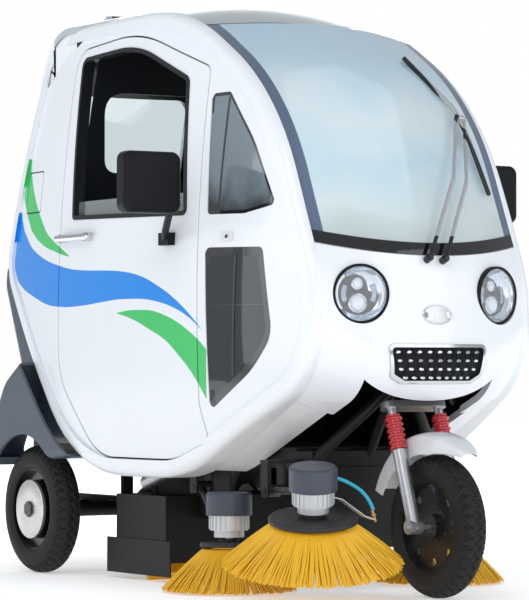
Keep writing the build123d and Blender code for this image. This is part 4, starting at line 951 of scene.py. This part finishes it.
# ---------------------------------------------------------------- rear hub covers
# A plain bright steel disc closes each rear wheel, with a black six-sided hub nut
# in its middle.
HUB_Y, HUB_Z = 0.810, 0.240
HUB_OUT = 0.5535
COVER = [(0.110, -0.014), (0.110, -0.0035), (0.106, -0.0018), (0.060, -0.0022), (0.020, -0.0026),
         (0.0005, -0.0026)]
NUT = [(0.0275 * a, 0.0275 * b) for a, b in HEX]
hub_steel = finish_material("hub_steel", (0.66, 0.66, 0.65), 0.24, metal=0.80, grain=260, bump=0.0001,
                            dust=0.2)
for side, word in ((-1, "right"), (1, "left")):
    hub = frame_at((side * (HUB_OUT - 0.004), HUB_Y, HUB_Z), (side, 0, 0))
    parts = [
        (lathe(COVER, 72), hub @ Matrix.Translation((0, 0, -0.002)), hub_steel),
        (slab(NUT, -0.010, 0.0035, 0.003), hub, black_plastic),
        (collar(0.0135, 0.0170, 0.002, 0.0040), hub, plate_dark),
    ]
    assemble("hub_cover_" + word, "rear_wheel_" + word, parts)


# ---------------------------------------------------------------- tyres
# Tubeless rubber tyres with a block tread: curved claws run in from both shoulders
# and leave a waved rib down the middle.
BEAD_SWEEP = math.pi * 0.63  # how far the section turns from the crown to the bead
TREAD_HALF = 0.50  # share of the section that carries tread
TREAD_DEEP = 0.0062
TUCK_FROM = 0.80


def tyre_mesh(half_width, outer, rim, claws, turns=360, rows=44):
    # the section swept round the axle, with the tread cut into its crown
    vertices, faces = [], []
    for i in range(turns):
        angle = 2 * math.pi * i / turns
        for k in range(rows + 1):
            share = -1 + 2 * k / rows  # -1 at one bead, 1 at the other
            side = abs(share)
            sweep = side * BEAD_SWEEP
            bulge = half_width * min(1.0, math.sin(min(sweep, math.pi / 2)) ** 0.75)
            tuck = max(0.0, side - TUCK_FROM) / (1 - TUCK_FROM)
            x = math.copysign(bulge - tuck * tuck * 0.010, share)
            crown = outer - (outer - rim) * max(0.0, 1 - math.cos(sweep)) / (1 - math.cos(BEAD_SWEEP))
            depth = 0.0
            if side < TREAD_HALF:
                across_share = side / TREAD_HALF
                offset = 0.5 if share > 0 else 0
                phase = (angle * claws / (2 * math.pi) + 0.55 * across_share ** 1.6 + offset) % 1
                claw = 0.16 < phase < 0.40 and across_share > 0.26
                notch = 0.60 < phase < 0.72 and across_share > 0.55
                wave = abs(share - 0.035 * math.sin(angle * claws)) < 0.022
                if claw or notch or wave:
                    depth = TREAD_DEEP * min(1, (1.06 - across_share) * 6)
            radius = crown - depth
            vertices.append((x, radius * math.sin(angle), radius * math.cos(angle)))
    for i in range(turns):
        for k in range(rows):
            a, b = i * (rows + 1) + k, ((i + 1) % turns) * (rows + 1) + k
            faces.append((a, a + 1, b + 1, b))
        a, b = i * (rows + 1), ((i + 1) % turns) * (rows + 1)
        faces.append((a + rows, a, b, b + rows))
    return vertices, faces


# node, body, place of the wheel centre, half width
for node, body, centre, half_width in (
    ("front_tyre", "front_wheel", (0, -1.090, 0.240), 0.0528),
    ("rear_tyre_right", "rear_wheel_right", (-0.490, 0.810, 0.240), 0.0558),
    ("rear_tyre_left", "rear_wheel_left", (0.490, 0.810, 0.240), 0.0558),
):
    tyre = assemble(node + "_tread", body, [
        (tyre_mesh(half_width, 0.2398, 0.150, 40), Matrix.Translation(centre), tyre_rubber),
    ])
    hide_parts(node)


# ---------------------------------------------------------------- front mudguard
# A white moulded guard over the steered wheel: a crowned top with deep side skirts
# that taper to a point at the front.
guard_white = finish_material("guard_white", (0.76, 0.79, 0.83), 0.3, coat=0.4, grain=600, bump=0.0001,
                              mottle=0.03, dust=0.3)
dress(guard_white, "front_mudguard")
GUARD_CENTRE = (0, -1.090, 0.240)
GUARD_FROM, GUARD_TO = -38, 68  # degrees from straight up, negative towards the front
guard_rows, guard_columns = 40, 28
vertices, faces = [], []
for wall in (0.0, 0.003):
    for i in range(guard_rows + 1):
        share = i / guard_rows
        angle = math.radians(GUARD_FROM + (GUARD_TO - GUARD_FROM) * share)
        skirt = 0.058 * min(1, (share / 0.30) ** 0.8) * (1 - 0.30 * max(0, share - 0.6) / 0.4)
        half = 0.030 + 0.034 * min(1, (share / 0.22) ** 0.7)
        for k in range(guard_columns + 1):
            turn = -1 + 2 * k / guard_columns
            bend = min(1.0, abs(turn) / 0.62)
            x = math.copysign(half * math.sin(bend * math.pi / 2), turn) * (1 - wall / 0.06)
            fall = 0.016 * (1 - math.cos(bend * math.pi / 2)) + skirt * max(0, abs(turn) - 0.62) / 0.38
            radius = 0.3165 - fall - wall
            vertices.append((x, math.sin(angle) * radius, math.cos(angle) * radius))
stride = guard_columns + 1
layer = (guard_rows + 1) * stride
for i in range(guard_rows):
    for k in range(guard_columns):
        a = i * stride + k
        faces.append((a, a + 1, a + stride + 1, a + stride))
        b = a + layer
        faces.append((b, b + stride, b + stride + 1, b + 1))
for i in range(guard_rows):
    for k, flip in ((0, False), (guard_columns, True)):
        a = i * stride + k
        quad = (a, a + stride, a + stride + layer, a + layer)
        faces.append(tuple(reversed(quad)) if flip else quad)
for k in range(guard_columns):
    for i, flip in ((0, True), (guard_rows, False)):
        a = i * stride + k
        quad = (a, a + 1, a + 1 + layer, a + layer)
        faces.append(tuple(reversed(quad)) if flip else quad)
guard_parts = [((vertices, faces), Matrix.Translation(GUARD_CENTRE), guard_white)]
guard = assemble("mudguard_shell", "fork_unit", guard_parts)
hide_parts("front_mudguard")


# ---------------------------------------------------------------- spray pipe
# A blue plastic pipe leads from behind the front brush motor to a brass nozzle on a
# bent white plate, which wets the floor ahead of the brush. Both are bolted to the motor.
def tube_along(points, radius, steps=12, around=12):
    # a round tube through points, smoothed between them
    curve = bpy.data.curves.new("path", "CURVE")
    curve.dimensions = "3D"
    spline = curve.splines.new("NURBS")
    spline.points.add(len(points) - 1)
    for i, point in enumerate(points):
        spline.points[i].co = (*point, 1)
    spline.order_u = 3
    spline.use_endpoint_u = True
    spline.resolution_u = steps
    curve.bevel_depth = radius
    curve.bevel_resolution = around // 4
    curve.use_fill_caps = True
    holder = bpy.data.objects.new("path", curve)
    mesh = bpy.data.meshes.new_from_object(holder)
    made = [tuple(v.co) for v in mesh.vertices], [tuple(f.vertices) for f in mesh.polygons]
    bpy.data.meshes.remove(mesh)
    bpy.data.objects.remove(holder)
    bpy.data.curves.remove(curve)
    return made


pipe_blue = finish_material("pipe_blue", (0.02, 0.42, 0.62), 0.3, coat=0.2, grain=400, bump=0.0001, dust=0.1)
brass = finish_material("brass", (0.60, 0.36, 0.14), 0.28, metal=0.9, grain=300, bump=0.0002, mottle=0.15)
plate_white = finish_material("plate_white", (0.70, 0.71, 0.72), 0.35, coat=0.2, mottle=0.06)
NOZZLE = Vector((-0.262, -1.100, 0.275))
pipe_route = [(-0.426, -1.034, 0.408), (-0.398, -1.020, 0.414), (-0.340, -1.040, 0.400),
              (-0.275, -1.080, 0.352), NOZZLE + Vector((0, 0.006, 0.026))]
plate_line = [(-0.420, -1.052, 0.350), (-0.372, -1.062, 0.338), (-0.300, -1.090, 0.282),
              (-0.268, -1.096, 0.271)]
PLATE_CORNERS = [(0.013, -0.0015), (-0.013, -0.0015), (-0.013, 0.0015), (0.013, 0.0015)]
plate = bar([[(x, y + dy, z + dz) for dy, dz in PLATE_CORNERS] for x, y, z in plate_line])
nozzle_frame = frame_at(NOZZLE, (0.15, -0.35, -1), (0, 1, 0))
nozzle_profile = [(0.0005, -0.026), (0.006, -0.026), (0.006, -0.014), (0.0085, -0.013), (0.0085, -0.004),
                  (0.0055, -0.002), (0.0055, 0.010), (0.003, 0.014), (0.0005, 0.014)]
assemble("spray_pipe", "brush_unit_front", [
    (tube_along(pipe_route, 0.0065), Matrix.Identity(4), pipe_blue),
    (plate, Matrix.Identity(4), plate_white),
    (lathe(nozzle_profile, 16), nozzle_frame, brass),
])


# ---------------------------------------------------------------- cab interior
# The black cab lining is one moulding with the floor and the wall behind the seat. The
# wall is open over nearly its whole width, so that the driver sees out at the rear.
WALL_OPENING = [(-0.37, 1.50, 0.05), (0.37, 1.50, 0.05), (0.37, 1.80, 0.09), (-0.37, 1.80, 0.09)]
WALL_FROM, WALL_TO = 0.50, 0.60
opening_line = rounded(WALL_OPENING)
count = len(opening_line)
vertices = [(p.x, y, p.y) for y in (WALL_FROM, WALL_TO) for p in opening_line]
faces = [tuple(range(count)), tuple(reversed(range(count, 2 * count)))]
faces += [(i, count + i, count + (i + 1) % count, (i + 1) % count) for i in range(count)]
cutter = mesh_object("wall_cutter", vertices, faces)
interior = bpy.data.objects.new("cab_lining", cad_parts["cab_floor"].data.copy())
interior.matrix_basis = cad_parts["cab_floor"].matrix_basis
scene.collection.objects.link(interior)
cut = interior.modifiers.new("opening", "BOOLEAN")
cut.operation, cut.solver, cut.object = "DIFFERENCE", "EXACT", cutter
bpy.context.view_layer.update()
cut_mesh = bpy.data.meshes.new_from_object(interior.evaluated_get(bpy.context.evaluated_depsgraph_get()))
interior.modifiers.clear()
interior.data = cut_mesh
bpy.data.objects.remove(cutter)
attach(interior, "chassis")
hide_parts("cab_floor")


# ---------------------------------------------------------------- rear corner webs
# White moulded webs close the sides of the roof's rear end and of the hatch behind the
# rounded corners of the side shells. They are bonded to the roof skin and to the hatch.
WEB_OUT, WEB_IN = 0.4035, 0.4005
WEB_DEEP = 0.13
ROOF_EDGE = (0.70, 0.168, 15)  # where the roof's web starts, its length and how many points
HATCH_CENTRE = (0.84, 1.90)
SEAM = 0.881  # the hatch closes against the roof here
LIP = Vector((0, 0, 0.001))


def web(name, body, side, rims):
    # a strip between (outer point, inner point) pairs, as thick as the moulding
    sections = []
    for outer, inner in rims:
        corners = [(WEB_OUT, outer), (WEB_OUT, inner), (WEB_IN, inner), (WEB_IN, outer)]
        sections.append([(side * x, point.y, point.z) for x, point in corners[::-side]])
    parts = [(bar(sections), Matrix.Identity(4), hull_paint)]
    assemble(name, body, parts, smooth=False)


roof_skin, hatch_skin = surface("roof_panel"), surface("rear_hatch")
for side, word in ((-1, "right"), (1, "left")):
    rims = []
    start, length, count = ROOF_EDGE
    for step in range(count):
        y = start + length * step / (count - 1)
        point, normal = touch(roof_skin, (side * WEB_IN, y, HATCH_CENTRE[1]), (0, 0, 1))
        if point is not None:
            rims.append((point + LIP, point - Vector((0, 0, WEB_DEEP))))
    web("roof_web_" + word, "chassis", side, rims)
    rims = []
    for step in range(28):
        angle = math.radians(72 - 4 * step)
        way = Vector((0, math.cos(angle), math.sin(angle)))
        point, normal = touch(hatch_skin, (side * WEB_IN, *HATCH_CENTRE), way)
        if point is not None and point.y > SEAM + 0.002:
            inner = point - way * WEB_DEEP
            rims.append((point + way * 0.001, Vector((inner.x, max(inner.y, SEAM), inner.z))))
    web("hatch_web_" + word, "hatch_unit", side, rims)


# ---------------------------------------------------------------- splash aprons
# Black rubber sheets hang under the cab floor behind the steered wheel and along both
# sides, and keep road water off the batteries. They are clamped to the frame.
# Each row: lower front right corner, upper rear left corner.
APRONS = [
    ((-0.205, -0.700, 0.150), (0.205, -0.694, 0.430)),
    ((-0.262, -0.180, 0.230), (-0.257, 0.380, 0.430)),
    ((0.257, -0.180, 0.230), (0.262, 0.380, 0.430)),
]
parts = []
for (x0, y0, z0), (x1, y1, z1) in APRONS:
    sections = [[(x, y0, z0), (x, y0, z1), (x, y1, z1), (x, y1, z0)] for x in (x0, x1)]
    parts.append((bar(sections), Matrix.Identity(4), rubber))
assemble("splash_aprons", "chassis", parts, smooth=False)


# ---------------------------------------------------------------- lock plate
# A small white plate with a key lock sits between the two side panes, on each side of
# the cab. It is pressed sheet, riveted to the shell.
LOCK_AT = (-0.8, -0.544, 1.2185)
shell_skin = surface("side_shell_right")
core_turns = [math.radians(30 * i) for i in range(12)]
core_line = [(0.0062 * math.cos(a), 0.0062 * math.sin(a)) for a in core_turns]
for side, word in ((-1, "right"), (1, "left")):
    point, normal = touch(shell_skin, LOCK_AT, (1, 0, 0))
    point, normal = (Vector((-side * v.x, v.y, v.z)) for v in (point, normal))
    plate_frame = frame_at(point, normal)
    outline = [Vector((0.034 * sx, 0.0165 * sy, 0.006)) for sx, sy in ((-1, -1), (1, -1), (1, 1), (-1, 1))]
    body_line = [(p.x, p.y) for p in rounded([tuple(v) for v in outline], 4)]
    parts = [
        (slab(body_line, -0.004, 0.0045, 0.0015), plate_frame, plate_white),
        (collar(0.0060, 0.0085, 0.003, 0.0062), plate_frame, chrome),
        (slab(core_line, 0.003, 0.0052, 0.0005), plate_frame, black_plastic),
    ]
    assemble("lock_plate_" + word, "chassis", parts)
